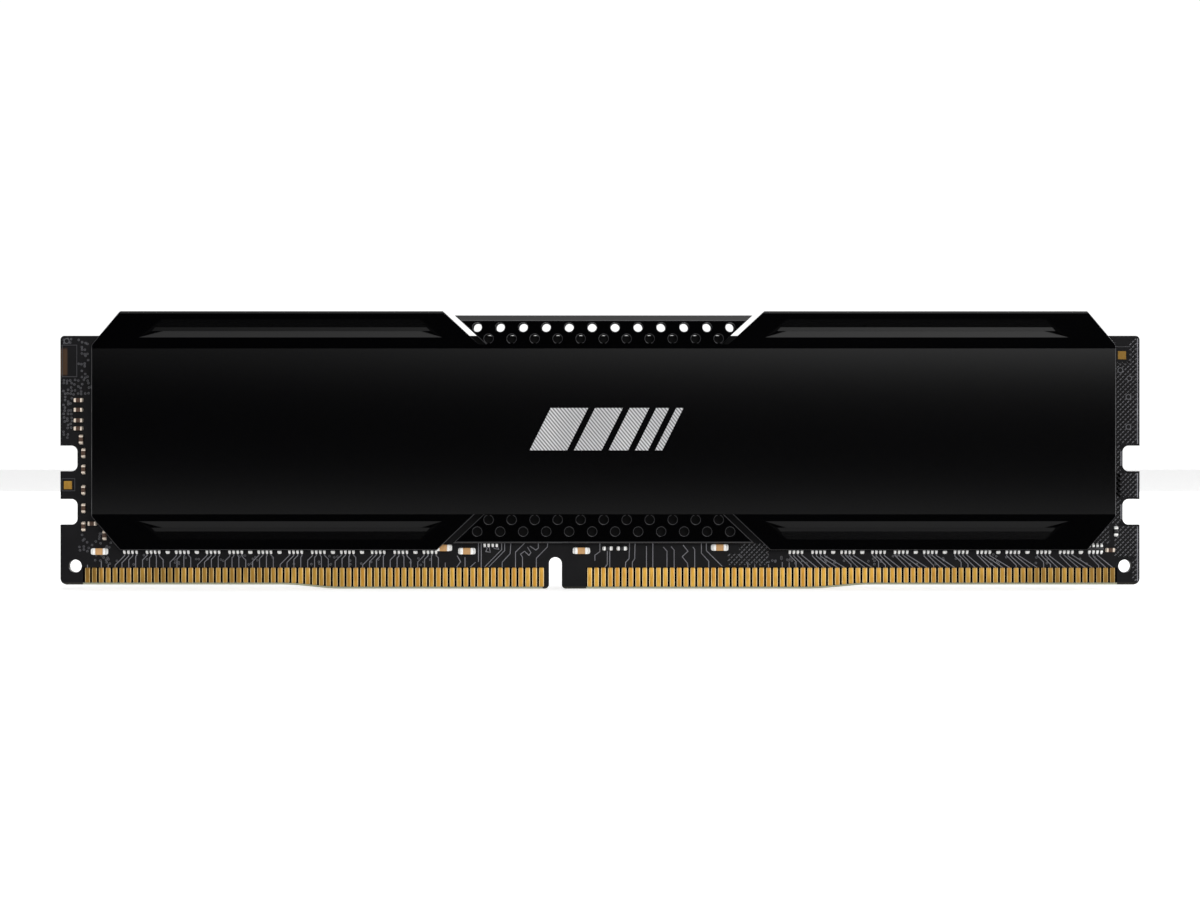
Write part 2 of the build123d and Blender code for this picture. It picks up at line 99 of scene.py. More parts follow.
class Bench:
    """Adds nodes to one tree and joins them.

    Args:
        tree: The material's or group's node tree.
    """

    def __init__(self, tree: bpy.types.NodeTree) -> None:
        """Keeps the tree and its links."""
        self.tree = tree

    def add(self, kind: str, **settings: object) -> bpy.types.Node:
        """Adds a node.

        Args:
            kind: The node's type name, without the leading ShaderNode.
            **settings: Attributes to set on the node.

        Returns:
            The new node.
        """
        node = self.tree.nodes.new("ShaderNode" + kind)
        for name, value in settings.items():
            setattr(node, name, value)
        return node

    def feed(self, socket: bpy.types.NodeSocket, source: object) -> None:
        """Gives a socket a value, or joins another node's socket to it.

        Args:
            socket: The input socket.
            source: A number, colour or output socket.
        """
        if isinstance(source, bpy.types.NodeSocket):
            self.tree.links.new(source, socket)
        else:
            socket.default_value = source

    def math(self, operation: str, a: object, b: object = 0.0) -> bpy.types.NodeSocket:
        """Works out one operation on two values.

        Args:
            operation: The Math node's operation.
            a: The first value or socket.
            b: The second one, where the operation has it.

        Returns:
            The output socket.
        """
        node = self.add("Math", operation=operation)
        for index, value in enumerate((a, b)):
            self.feed(node.inputs[index], value)
        return node.outputs[0]

    def span(
        self, value: object, low: object, high: object, out_low: object = 0.0, out_high: object = 1.0
    ) -> bpy.types.NodeSocket:
        """Maps low..high to out_low..out_high, smoothly and clamped.

        Args:
            value: The value or socket to map.
            low: Where the change starts.
            high: Where it ends.
            out_low: The result up to low.
            out_high: The result from high on.

        Returns:
            The output socket.
        """
        node = self.add("MapRange", interpolation_type="SMOOTHSTEP")
        for index, number in enumerate((value, low, high, out_low, out_high)):
            self.feed(node.inputs[index], number)
        return node.outputs[0]

    def mix(self, share: object, first: object, second: object) -> bpy.types.NodeSocket:
        """Mixes two colours.

        Args:
            share: How much of the second one there is, from 0 to 1.
            first: The colour at 0.
            second: The colour at 1.

        Returns:
            The output socket.
        """
        node = self.add("Mix", data_type="RGBA")
        self.feed(node.inputs[0], share)
        self.feed(node.inputs[6], first)
        self.feed(node.inputs[7], second)
        return node.outputs[2]

    def noise(self, vector: object, scale: object, detail: float = 2.0) -> bpy.types.NodeSocket:
        """Adds noise on a vector.

        Args:
            vector: The vector socket.
            scale: Features per unit of the vector.
            detail: How many finer layers the noise has.

        Returns:
            Its value socket, from 0 to 1.
        """
        node = self.add("TexNoise")
        for name, value in (("Vector", vector), ("Scale", scale), ("Detail", detail)):
            self.feed(node.inputs[name], value)
        return node.outputs["Fac"]

    def scaled(self, vector: object, factor: object) -> bpy.types.NodeSocket:
        """Multiplies a vector or colour by a factor.

        Args:
            vector: The vector or colour socket.
            factor: The factor.

        Returns:
            The output socket.
        """
        node = self.add("VectorMath", operation="SCALE")
        self.feed(node.inputs[0], vector)
        self.feed(node.inputs["Scale"], factor)
        return node.outputs[0]

    def parts(self, vector: object) -> tuple[bpy.types.NodeSocket, ...]:
        """Splits a vector.

        Args:
            vector: The vector socket.

        Returns:
            Its X, Y and Z sockets.
        """
        node = self.add("SeparateXYZ")
        self.feed(node.inputs[0], vector)
        return tuple(node.outputs)

    def product(self, *factors: object) -> bpy.types.NodeSocket:
        """Multiplies two or more values.

        Args:
            *factors: The values or sockets.

        Returns:
            The output socket.
        """
        total = factors[0]
        for factor in factors[1:]:
            total = self.math("MULTIPLY", total, factor)
        return total

    def place(self) -> bpy.types.NodeSocket:
        """The place on the object, in metres."""
        return self.add("TexCoord").outputs["Object"]

    def stretched(
        self, scale: Sequence[float], turn: Sequence[float] = (0, 0, 0)
    ) -> bpy.types.NodeSocket:
        """The place on the object, scaled and turned.

        Args:
            scale: The factor along each axis.
            turn: The turn about each axis, in radians.

        Returns:
            The vector socket.
        """
        node = self.add("Mapping")
        self.feed(node.inputs["Vector"], self.place())
        node.inputs["Scale"].default_value = scale
        node.inputs["Rotation"].default_value = turn
        return node.outputs[0]

    def use(self, group: bpy.types.NodeTree, **inputs: object) -> bpy.types.Node:
        """Places a node group.

        Args:
            group: The group's node tree.
            **inputs: Its inputs by name, with underscores for spaces.

        Returns:
            The group node.
        """
        node = self.add("Group", node_tree=group)
        for name, value in inputs.items():
            self.feed(node.inputs[name.replace("_", " ")], value)
        return node


def new_group(name: str, inputs: Sequence[tuple], outputs: Sequence[tuple]) -> tuple:
    """Makes an empty node group with named sockets.

    Args:
        name: The group's name.
        inputs: (name, socket type, default value) for each input.
        outputs: (name, socket type) for each output.

    Returns:
        The group's bench, its input node and its output node.
    """
    group = bpy.data.node_groups.new(name, "ShaderNodeTree")
    for label, kind, value in inputs:
        group.interface.new_socket(label, in_out="INPUT", socket_type=kind).default_value = value
    for label, kind in outputs:
        group.interface.new_socket(label, in_out="OUTPUT", socket_type=kind)
    bench = Bench(group)
    return bench, group.nodes.new("NodeGroupInput"), group.nodes.new("NodeGroupOutput")


def tone_drift_group() -> bpy.types.NodeTree:
    """Slow changes of tone over a surface: the colour times 1 + amount * (noise - 1/2).

    Returns:
        The group's node tree.
    """
    bench, given, out = new_group(
        "tone_drift",
        [
            ("Color", "NodeSocketColor", (0.5, 0.5, 0.5, 1.0)),
            ("Scale", "NodeSocketFloat", 60.0),
            ("Amount", "NodeSocketFloat", 0.2),
        ],
        [("Color", "NodeSocketColor")],
    )
    noise = bench.noise(bench.place(), given.outputs["Scale"], 3.0)
    change = bench.math("MULTIPLY", bench.math("SUBTRACT", noise, 0.5), given.outputs["Amount"])
    bench.feed(out.inputs["Color"], bench.scaled(given.outputs["Color"], bench.math("ADD", change, 1.0)))
    return bench.tree


def fine_grain_group() -> bpy.types.NodeTree:
    """Fine surface grain: a tight noise as a height in metres and as a small change of roughness.

    Returns:
        The group's node tree.
    """
    bench, given, out = new_group(
        "fine_grain",
        [
            ("Scale", "NodeSocketFloat", 6000.0),
            ("Depth", "NodeSocketFloat", 0.000002),
            ("Roughness", "NodeSocketFloat", 0.4),
            ("Spread", "NodeSocketFloat", 0.1),
        ],
        [("Height", "NodeSocketFloat"), ("Roughness", "NodeSocketFloat")],
    )
    noise = bench.noise(bench.place(), given.outputs["Scale"], 4.0)
    bench.feed(out.inputs["Height"], bench.math("MULTIPLY", noise, given.outputs["Depth"]))
    change = bench.math("MULTIPLY", bench.math("SUBTRACT", noise, 0.5), given.outputs["Spread"])
    bench.feed(out.inputs["Roughness"], bench.math("ADD", given.outputs["Roughness"], change))
    return bench.tree


def wipe_marks_group() -> bpy.types.NodeTree:
    """Fine marks along one direction: noise on a vector stretched that way, sharpened to streaks.

    Returns:
        The group's node tree.
    """
    bench, given, out = new_group(
        "wipe_marks",
        [
            ("Vector", "NodeSocketVector", (0.0, 0.0, 0.0)),
            ("Scale", "NodeSocketFloat", 9000.0),
            ("Sharpness", "NodeSocketFloat", 0.6),
        ],
        [("Mask", "NodeSocketFloat")],
    )
    noise = bench.noise(given.outputs["Vector"], given.outputs["Scale"], 3.0)
    bench.feed(out.inputs["Mask"], bench.span(noise, given.outputs["Sharpness"], 0.75))
    return bench.tree


class Groups:
    """The node groups, each built the first time that it is asked for."""

    _built: dict[str, bpy.types.NodeTree] = {}
    _makers: dict[str, Callable[[], bpy.types.NodeTree]] = {
        "tone_drift": tone_drift_group,
        "fine_grain": fine_grain_group,
        "wipe_marks": wipe_marks_group,
    }

    @classmethod
    def get(cls, name: str) -> bpy.types.NodeTree:
        """Looks a group up, and builds it where it isn't there yet.

        Args:
            name: The group's name.

        Returns:
            Its node tree.
        """
        if name not in cls._built:
            cls._built[name] = cls._makers[name]()
        return cls._built[name]


# ------------------------------------------------------------------ finishes


def start_material(name: str) -> tuple[bpy.types.Material, Bench, bpy.types.Node]:
    """Makes a material with an empty tree and a Principled shader.

    Args:
        name: The material's name.

    Returns:
        The material, a bench on its tree, and its Principled node.
    """
    material = bpy.data.materials.new(name)
    material.use_nodes = True
    material.node_tree.nodes.clear()
    bench = Bench(material.node_tree)
    shader = bench.add("BsdfPrincipled")
    output = bench.add("OutputMaterial")
    bench.feed(output.inputs["Surface"], shader.outputs[0])
    return material, bench, shader


def dimmed(color: tuple, share: float) -> tuple:
    """A colour whose red, green and blue are multiplied by share."""
    return tuple(share * part for part in color[:3]) + (color[3],)


def bump(bench: Bench, shader: bpy.types.Node, height: object) -> None:
    """Feeds a height in metres to the shader's normal.

    Args:
        bench: The bench on the material's tree.
        shader: Its Principled node.
        height: The height socket.
    """
    node = bench.add("Bump")
    node.inputs["Strength"].default_value = 1.0
    node.inputs["Distance"].default_value = 1.0
    bench.feed(node.inputs["Height"], height)
    bench.feed(shader.inputs["Normal"], node.outputs[0])


@dataclass(frozen=True)
class Grain:
    """A finish's fine grain: features per metre, depth in metres, mean roughness and its spread."""

    scale: float
    depth: float
    roughness: float
    spread: float

    def add(self, bench: Bench) -> tuple[bpy.types.NodeSocket, bpy.types.NodeSocket]:
        """Adds the grain to a material.

        Args:
            bench: The bench on the material's tree.

        Returns:
            The roughness and height sockets.
        """
        node = bench.use(
            Groups.get("fine_grain"),
            Scale=self.scale,
            Depth=self.depth,
            Roughness=self.roughness,
            Spread=self.spread,
        )
        return node.outputs["Roughness"], node.outputs["Height"]

    def dress(self, bench: Bench, shader: bpy.types.Node) -> None:
        """Feeds the grain to a shader's roughness and normal.

        Args:
            bench: The bench on the material's tree.
            shader: Its Principled node.
        """
        roughness, height = self.add(bench)
        bench.feed(shader.inputs["Roughness"], roughness)
        bump(bench, shader, height)


def drifting(bench: Bench, color: tuple, scale: float, amount: float) -> bpy.types.NodeSocket:
    """A colour that drifts slowly over the surface, as the tone_drift group gives it."""
    return bench.use(Groups.get("tone_drift"), Color=color, Scale=scale, Amount=amount).outputs["Color"]


@dataclass(frozen=True)
class AnodisedBlack:
    """Black anodised sheet: satin, with a fine grain, and crowned a little across the band.

    The crown is centred at height middle_z, and is crown deep at half_band from there, in millimetres.
    """

    color: tuple = (0.0005, 0.0005, 0.0007, 1.0)
    drift_scale: float = 45.0
    drift: float = 0.5
    specular: float = 0.24
    grain: Grain = Grain(5200.0, 0.0000004, 0.13, 0.06)
    middle_z: float = 19.4
    crown: float = 0.17
    half_band: float = 10.2

    def material(self) -> bpy.types.Material:
        """Grain as roughness and bump, a slow drift of tone, and a crown of height -c * (z / h)^2.

        Returns:
            The material.
        """
        material, bench, shader = start_material("black_anodised_sheet")
        drift = drifting(bench, self.color, self.drift_scale, self.drift)
        bench.feed(shader.inputs["Base Color"], drift)
        shader.inputs["Specular IOR Level"].default_value = self.specular
        roughness, height = self.grain.add(bench)
        bench.feed(shader.inputs["Roughness"], roughness)
        off = bench.math("SUBTRACT", bench.parts(bench.place())[2], self.middle_z * MM)
        share = bench.math("DIVIDE", bench.math("ABSOLUTE", off), self.half_band * MM)
        crown = bench.product(share, share, -self.crown * MM)
        bump(bench, shader, bench.math("ADD", crown, height))
        return material


@dataclass(frozen=True)
class SolderMask:
    """Black solder mask on the faces, dark laminate on the edges, pale glass on the contact bevel."""

    mask: tuple = (0.005, 0.0048, 0.0058, 1.0)
    mask_drift_scale: float = 420.0
    mask_drift: float = 0.9
    core: tuple = (0.035, 0.033, 0.026, 1.0)
    bevel: tuple = (0.38, 0.39, 0.28, 1.0)
    stain: tuple = (0.06, 0.032, 0.016, 1.0)
    black: tuple = (0.0, 0.0, 0.0, 1.0)
    specular: float = 0.15
    grain: Grain = Grain(2600.0, 0.000003, 0.42, 0.2)
    bare_roughness: float = 0.12
    banks: tuple = ((-63.9, -7.1), (-1.7, 63.9))
    mask_foot: float = 2.62

    def stained(self, bench: Bench, x: object, z: object) -> bpy.types.NodeSocket:
        """The brown stripe that lies under the mask beside the upper left edge.

        Args:
            bench: The bench on the material's tree.
            x: The place's X socket.
            z: The place's Z socket.

        Returns:
            The stripe's share as a socket.
        """
        across = bench.span(x, -65.95 * MM, -65.7 * MM, 1.0, 0.0)
        upper = bench.span(z, 26.2 * MM, 26.6 * MM)
        lower = bench.span(z, 29.4 * MM, 29.9 * MM, 1.0, 0.0)
        return bench.product(upper, lower, across, 0.9)

    def material(self) -> bpy.types.Material:
        """Mixes the colours by how squarely the surface faces along Y, and by its place.

        The face between the contacts has no mask, so it is darker and smoother.

        Returns:
            The material.
        """
        material, bench, shader = start_material("solder_mask_and_laminate")
        x, _, z = bench.parts(bench.place())
        drift = drifting(bench, self.mask, self.mask_drift_scale, self.mask_drift)
        face = bench.mix(self.stained(bench, x, z), drift, self.stain)
        layers = bench.noise(bench.stretched((120.0, 9000.0, 120.0)), 1.0, 3.0)
        edge = bench.mix(layers, self.core, dimmed(self.core, 0.5))
        pale = bench.mix(layers, self.bevel, dimmed(self.bevel, 0.6))
        low = bench.span(z, 0.9 * MM, 1.0 * MM, 1.0, 0.0)
        roughness, height = self.grain.add(bench)
        for start, end in self.banks:
            after = bench.math("GREATER_THAN", x, start * MM)
            inside = bench.product(bench.math("LESS_THAN", x, end * MM), after)
            edge = bench.mix(bench.product(inside, low), edge, pale)
            bare = bench.product(bench.math("LESS_THAN", z, self.mask_foot * MM), inside)
            face = bench.mix(bench.product(bare, 0.8), face, self.black)
            roughness = bench.span(bare, 0.0, 1.0, roughness, self.bare_roughness)
        across = bench.parts(bench.add("TexCoord").outputs["Normal"])[1]
        flat = bench.span(bench.math("ABSOLUTE", across), 0.85, 0.95)
        bench.feed(shader.inputs["Base Color"], bench.mix(flat, edge, face))
        shader.inputs["Specular IOR Level"].default_value = self.specular
        bench.feed(shader.inputs["Roughness"], roughness)
        bump(bench, shader, height)
        return material


@dataclass(frozen=True)
class HardGold:
    """Hard gold plating: yellow to amber from contact to contact, with fine wipe marks along Z.

    The contacts near both ends of the board are the most worn, so they are deeper and browner.
    """

    bright: tuple = (0.84, 0.47, 0.068, 1.0)
    deep: tuple = (0.70, 0.33, 0.036, 1.0)
    worn: tuple = (0.22, 0.12, 0.017, 1.0)
    # a paler gold for the contacts' shoulders: a painted highlight, not the plating's own colour
    pale: tuple = (1.0, 0.83, 0.47, 1.0)
    metallic: float = 0.55
    grain: Grain = Grain(7000.0, 0.0000015, 0.36, 0.25)

    def wear(self, bench: Bench) -> bpy.types.NodeSocket:
        """How worn the gold is: more towards both ends of the board, in patches.

        Args:
            bench: The bench on the material's tree.

        Returns:
            The wear as a socket, from 0 to 1.
        """
        x = bench.parts(bench.place())[0]
        left = bench.span(x, -66.0 * MM, 5.0 * MM, 0.95, 0.05)
        right = bench.span(x, 30.0 * MM, 62.0 * MM, 0.0, 0.9)
        patches = bench.noise(bench.stretched((420.0, 60.0, 160.0)), 1.0)
        return bench.product(bench.math("ADD", left, right), bench.span(patches, 0.3, 0.6, 0.5, 1.0))

    def material(self) -> bpy.types.Material:
        """Mixes the golds by noise and by wear, darkens the wipe marks, and paints a highlight on the
        shoulders.

        Returns:
            The material.
        """
        material, bench, shader = start_material("hard_gold_plating")
        cells = bench.noise(bench.stretched((900.0, 60.0, 240.0)), 1.0)
        tone = bench.mix(bench.span(cells, 0.34, 0.66), self.bright, self.deep)
        wear = self.wear(bench)
        tone = bench.mix(wear, tone, self.worn)
        marks = bench.use(
            Groups.get("wipe_marks"),
            Vector=bench.stretched((1.0, 1.0, 0.15)),
            Scale=7000.0,
            Sharpness=0.48,
        ).outputs["Mask"]
        marked = bench.mix(bench.product(marks, 0.5), tone, dimmed(self.deep, 0.4))
        # the shoulders, where the normal turns sideways, get a painted highlight in a paler gold, duller
        # where the gold is worn
        sideways = bench.parts(bench.add("TexCoord").outputs["Normal"])[0]
        painted_highlight_share = bench.span(bench.math("ABSOLUTE", sideways), 0.1, 0.4, 0.0, 0.95)
        highlight_dulled_by_wear = bench.mix(bench.product(wear, 0.7), self.pale, dimmed(self.bright, 0.6))
        bench.feed(shader.inputs["Base Color"], bench.mix(painted_highlight_share, marked, highlight_dulled_by_wear))
        shader.inputs["Metallic"].default_value = self.metallic
        self.grain.dress(bench, shader)
        return material


@dataclass(frozen=True)
class Plain:
    """A plain finish with a drift of tone and a fine grain, for parts that have one colour."""

    name: str
    color: tuple
    roughness: float
    metallic: float = 0.0
    specular: float = 0.5
    drift: float = 0.4
    drift_scale: float = 500.0
    grain: float = 3000.0
    depth: float = 0.000003
    spread: float = 0.15

    def material(self) -> bpy.types.Material:
        """Base colour from tone_drift, roughness and height from fine_grain.

        Returns:
            The material.
        """
        material, bench, shader = start_material(self.name)
        drift = drifting(bench, (*self.color, 1.0), self.drift_scale, self.drift)
        bench.feed(shader.inputs["Base Color"], drift)
        shader.inputs["Metallic"].default_value = self.metallic
        shader.inputs["Specular IOR Level"].default_value = self.specular
        Grain(self.grain, self.depth, self.roughness, self.spread).dress(bench, shader)
        return material


def covered_copper(name: str, color: tuple) -> Plain:
    """Copper under black solder mask: greyer than the bare mask around it.

    Args:
        name: The material's name.
        color: Its red, green and blue.

    Returns:
        The finish.
    """
    return Plain(
        name, color, 0.34, drift=1.2, drift_scale=600.0, grain=4000.0, depth=0.000001, spread=0.2
    )


@dataclass(frozen=True)
class HatchedFoil:
    """Silver foil with a fine slanting hatch; its darker colour in the grooves is painted shade."""

    bright: tuple = (0.86, 0.86, 0.87, 1.0)
    dark: tuple = (0.16, 0.16, 0.17, 1.0)
    pitch: float = 0.34
    lean: float = math.radians(40)
    metallic: float = 0.55
    roughness: float = 0.38
    depth: float = 0.000004

    def material(self) -> bpy.types.Material:
        """A wave across a turned X-Z plane gives the hatch, with a slow noise over it.

        Returns:
            The material.
        """
        material, bench, shader = start_material("hatched_silver_foil")
        wave = bench.add("TexWave", wave_type="BANDS", bands_direction="X", wave_profile="SIN")
        bench.feed(wave.inputs["Vector"], bench.stretched((1.0, 1.0, 1.0), (0.0, self.lean, 0.0)))
        wave.inputs["Scale"].default_value = math.pi / 10 / (self.pitch * MM)
        wave.inputs["Distortion"].default_value = 0.0
        slow = bench.noise(bench.stretched((140.0, 140.0, 60.0)), 1.0, 1.0)
        share = bench.math("MULTIPLY", wave.outputs["Fac"], bench.span(slow, 0.3, 0.7, 0.75, 1.0))
        # the dark lines, where the wave and the bump are low, are painted shade in the hatch's grooves
        bench.feed(shader.inputs["Base Color"], bench.mix(share, self.dark, self.bright))
        shader.inputs["Metallic"].default_value = self.metallic
        shader.inputs["Roughness"].default_value = self.roughness
        bump(bench, shader, bench.math("MULTIPLY", wave.outputs["Fac"], self.depth))
        return material


class Finishes:
    """The module's finishes: one for each record slot, and the few others that pieces have."""

    def __init__(self) -> None:
        """Builds every finish once."""
        by_slot = {
            Slot.BOARD: SolderMask(),
            Slot.GOLD: HardGold(),
            Slot.SPREADER: AnodisedBlack(),
            Slot.MOULD: Plain("mould_compound", (0.016, 0.016, 0.017), 0.55, grain=9000.0),
            Slot.SUBSTRATE: Plain("chip_laminate", (0.02, 0.05, 0.025), 0.4),
            Slot.SOLDER: Plain("bright_solder", (0.68, 0.68, 0.66), 0.3, metallic=0.9),
            Slot.TAPE: Plain("heat_tape", (0.25, 0.28, 0.32), 0.85, grain=5000.0, depth=0.00001),
            Slot.FOIL: HatchedFoil(),
            Slot.LABEL: Plain("label_film", (0.27, 0.27, 0.262), 0.45, drift=0.22, drift_scale=160.0),
            Slot.RESISTOR: Plain("resistor_film", (0.012, 0.012, 0.014), 0.22),
            Slot.CAPACITOR: Plain("capacitor_ceramic", (0.56, 0.31, 0.12), 0.45, drift=0.9),
            Slot.TIN: Plain("tinned_caps", (0.97, 0.97, 0.95), 0.3, metallic=0.1, drift=0.1),
        }
        self.by_slot = {slot: finish.material() for slot, finish in by_slot.items()}
        self.copper = covered_copper("mask_over_copper", (0.18, 0.18, 0.2)).material()
        self.mesh_copper = covered_copper("mask_over_hatched_copper", (0.09, 0.09, 0.1)).material()
        self.dim_copper = covered_copper("mask_over_thin_copper", (0.038, 0.038, 0.043)).material()
        # the rounded cut edges and hole rims get a lighter, glossier finish: a painted highlight
        self.cut_edge_highlight = Plain("rubbed_cut_edge", (0.024, 0.024, 0.027), 0.3, specular=0.7).material()
        self.brown_ceramic = Plain("brown_ceramic", (0.07, 0.032, 0.016), 0.4, drift=0.9).material()
        self.warm_tin = Plain(
            "aged_tin_caps", (0.86, 0.74, 0.62), 0.34, metallic=0.3, drift=0.5
        ).material()

    def __getitem__(self, slot: Slot) -> bpy.types.Material:
        """The finish of a record slot."""
        return self.by_slot[slot]


# ------------------------------------------------------------------ meshes


def add_piece(
    name: str,
    points: Points,
    faces: Faces,
    finish: bpy.types.Material,
    slot: Slot,
    smooth: bool = False,
) -> bpy.types.Object:
    """Makes a mesh object from points in millimetres and lets it ride on the module.

    Args:
        name: The piece's name.
        points: (n, 3) corner places.
        faces: Corner numbers of each face.
        finish: The piece's material.
        slot: Not used.
        smooth: Whether its faces are shaded smoothly.

    Returns:
        The new object.
    """
    mesh = bpy.data.meshes.new(name)
    mesh.from_pydata((points * MM).tolist(), [], faces)
    mesh.update()
    if smooth:
        mesh.shade_smooth()
    mesh.materials.append(finish)
    piece = bpy.data.objects.new(name, mesh)
    bpy.context.scene.collection.objects.link(piece)
    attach(piece, BODY)
    return piece


def tube_faces(count: int, rings: int, sides: int) -> Faces:
    """Faces of closed tubes whose corners are numbered tube, ring, side; each end is one face.

    Args:
        count: Number of tubes.
        rings: Rings in each tube.
        sides: Corners in each ring.

    Returns:
        The faces' corner numbers.
    """
    tube = np.arange(count)[:, None, None] * rings * sides
    ring = np.arange(rings - 1)[None, :, None] * sides
    side = np.arange(sides)[None, None, :]
    here = tube + ring
    a = here + side
    b = here + (side + 1) % sides
    walls = np.stack([a, b, b + sides, a + sides], axis=-1).reshape(-1, 4)
    ends = (np.arange(count)[:, None] * rings * sides) + np.arange(sides)[None, :]
    first = ends[:, ::-1]
    last = ends + (rings - 1) * sides
    return [tuple(f) for f in walls.tolist() + first.tolist() + last.tolist()]


def to_side(points: Points, faces: Faces, side: Side) -> tuple[Points, Faces]:
    """Turns points built for the front face over to the rear face where asked.

    Args:
        points: (n, 3) places on the front side, with negative Y.
        faces: Their faces.
        side: The wanted side.

    Returns:
        The points and faces on that side; on the rear Y changes sign and every face is reversed.
    """
    if side is Side.FRONT:
        return points, faces
    flipped = points.copy()
    flipped[:, 1] *= -1
    return flipped, [tuple(reversed(f)) for f in faces]


# a low trapezoid, as shares of a ridge's width and height; its foot is sunk a little in the face
RIDGE_SECTION = np.array([[-0.5, -0.3], [-0.36, 1.0], [0.36, 1.0], [0.5, -0.3]])


def ribbons(paths: Points, width: float, height: float, base: float) -> tuple[Points, Faces]:
    """Low trapezoid ridges along paths on the front face.

    Each ring stands square to its path: the path's point plus the mitred normal times the section's
    x, and minus Y times (base plus the section's y).

    Args:
        paths: (n, k, 2) places in X and Z.
        width: Width at the foot.
        height: Height over the face.
        base: Distance of the face from the mid-plane.

    Returns:
        Points and faces of n closed ridges.
    """
    step = np.diff(paths, axis=1)
    step /= np.maximum(np.linalg.norm(step, axis=2, keepdims=True), 1e-9)
    before = np.concatenate([step[:, :1], step], axis=1)
    after = np.concatenate([step, step[:, -1:]], axis=1)
    along = before + after
    along /= np.maximum(np.linalg.norm(along, axis=2, keepdims=True), 1e-9)
    stretch = 1 / np.clip((along * after).sum(axis=2, keepdims=True), 0.5, 1)
    normal = np.stack([-along[..., 1], along[..., 0]], axis=-1) * stretch
    section = RIDGE_SECTION * [width, height]
    flat = paths[:, :, None, :] + normal[:, :, None, :] * section[None, None, :, :1]
    depth = np.broadcast_to(-(base + section[:, 1]), flat.shape[:3])
    points = np.stack([flat[..., 0], depth, flat[..., 1]], axis=-1).reshape(-1, 3)
    return points, tube_faces(len(paths), paths.shape[1], 4)


def rings_on_face(
    centres: Points, radius: float, width: float, height: float, base: float, sides: int = 14
) -> tuple[Points, Faces]:
    """Flat rings on the front face, as closed ribbons round each centre.

    Args:
        centres: (n, 2) places in X and Z.
        radius: Middle radius of the ring.
        width: The ring's width.
        height: Height over the face.
        base: Distance of the face from the mid-plane.
        sides: Steps round the ring.

    Returns:
        Points and faces. A corner is centre + (radius + section x) * (cos a, sin a).
    """
    angle = np.linspace(0, 2 * np.pi, sides, endpoint=False)
    section = RIDGE_SECTION * [width, height]
    reach = radius + section[:, 0]
    x = centres[:, None, None, 0] + reach[None, None, :] * np.cos(angle)[None, :, None]
    z = centres[:, None, None, 1] + reach[None, None, :] * np.sin(angle)[None, :, None]
    y = np.broadcast_to(-(base + section[:, 1]), x.shape)
    points = np.stack([x, y, z], axis=-1).reshape(-1, 3)
    ring = np.arange(len(centres))[:, None, None] * sides * 4
    here = np.arange(sides)[None, :, None]
    side = np.arange(4)[None, None, :]
    a = ring + here * 4 + side
    b = ring + here * 4 + (side + 1) % 4
    c = ring + ((here + 1) % sides) * 4 + (side + 1) % 4
    d = ring + ((here + 1) % sides) * 4 + side
    faces = np.stack([a, d, c, b], axis=-1).reshape(-1, 4)
    return points, [tuple(f) for f in faces.tolist()]


def join_parts(parts: Sequence[tuple[Points, Faces]]) -> tuple[Points, Faces]:
    """Puts several point and face sets together into one.

    Args:
        parts: The sets.

    Returns:
        All the points, and all the faces with their corner numbers moved on.
    """
    points, faces, start = [], [], 0
    for part_points, part_faces in parts:
        points.append(part_points)
        faces += [tuple(i + start for i in f) for f in part_faces]
        start += len(part_points)
    return np.concatenate(points), faces


def outward_checked(piece: bpy.types.Object) -> bpy.types.Object:
    """Recalculates a closed piece's normals so that they point outwards.

    Args:
        piece: The piece.

    Returns:
        The same piece.
    """
    work = bmesh.new()
    work.from_mesh(piece.data)
    bmesh.ops.recalc_face_normals(work, faces=work.faces)
    work.to_mesh(piece.data)
    work.free()
    return piece


def islands(node: str) -> tuple[Points, Points]:
    """Middles and half sizes, in X and Z, of the separate solids of a CAD node.

    Each corner starts with its own number. All corners of a triangle take the lowest number among
    them, again and again, until the corners of a solid share one number.

    Args:
        node: The CAD node.

    Returns:
        (n, 2) middles and (n, 2) half sizes, in millimetres.
    """
    mesh = frame["nodes"][node].data
    mesh.calc_loop_triangles()
    places = np.empty(3 * len(mesh.vertices))
    mesh.vertices.foreach_get("co", places)
    triangles = np.empty(3 * len(mesh.loop_triangles), dtype=int)
    mesh.loop_triangles.foreach_get("vertices", triangles)
    places, merged = np.unique(np.round(places.reshape(-1, 3) / MM, 3), axis=0, return_inverse=True)
    triangles = merged.ravel()[triangles].reshape(-1, 3)
    label, before = np.arange(len(places)), None
    while before is None or (label != before).any():
        before = label.copy()
        np.minimum.at(label, triangles, label[triangles].min(axis=1, keepdims=True))
    _, solid = np.unique(label, return_inverse=True)
    low = np.full((solid.max() + 1, 2), np.inf)
    high = -low
    np.minimum.at(low, solid, places[:, [0, 2]])
    np.maximum.at(high, solid, places[:, [0, 2]])
    return (low + high) / 2, (high - low) / 2


class EdgeKind(Enum):
    """How two faces of a CAD node meet."""

    ROUND = "rounded by the bevel"
    CREASE = "left sharp"
    BLEND = "shaded smoothly"


MERGE_DISTANCE = 0.002  # corners of a CAD mesh that are nearer than this are one
FLAT_ANGLE = math.radians(0.5)  # triangles that meet at less than this are one face
ROUNDED_ANGLE = math.radians(28)


def plain_edge(edge: bmesh.types.BMEdge) -> EdgeKind:
    """Rounds an edge where two faces meet at more than ROUNDED_ANGLE."""
    return EdgeKind.ROUND if edge.calc_face_angle(0.0) > ROUNDED_ANGLE else EdgeKind.BLEND


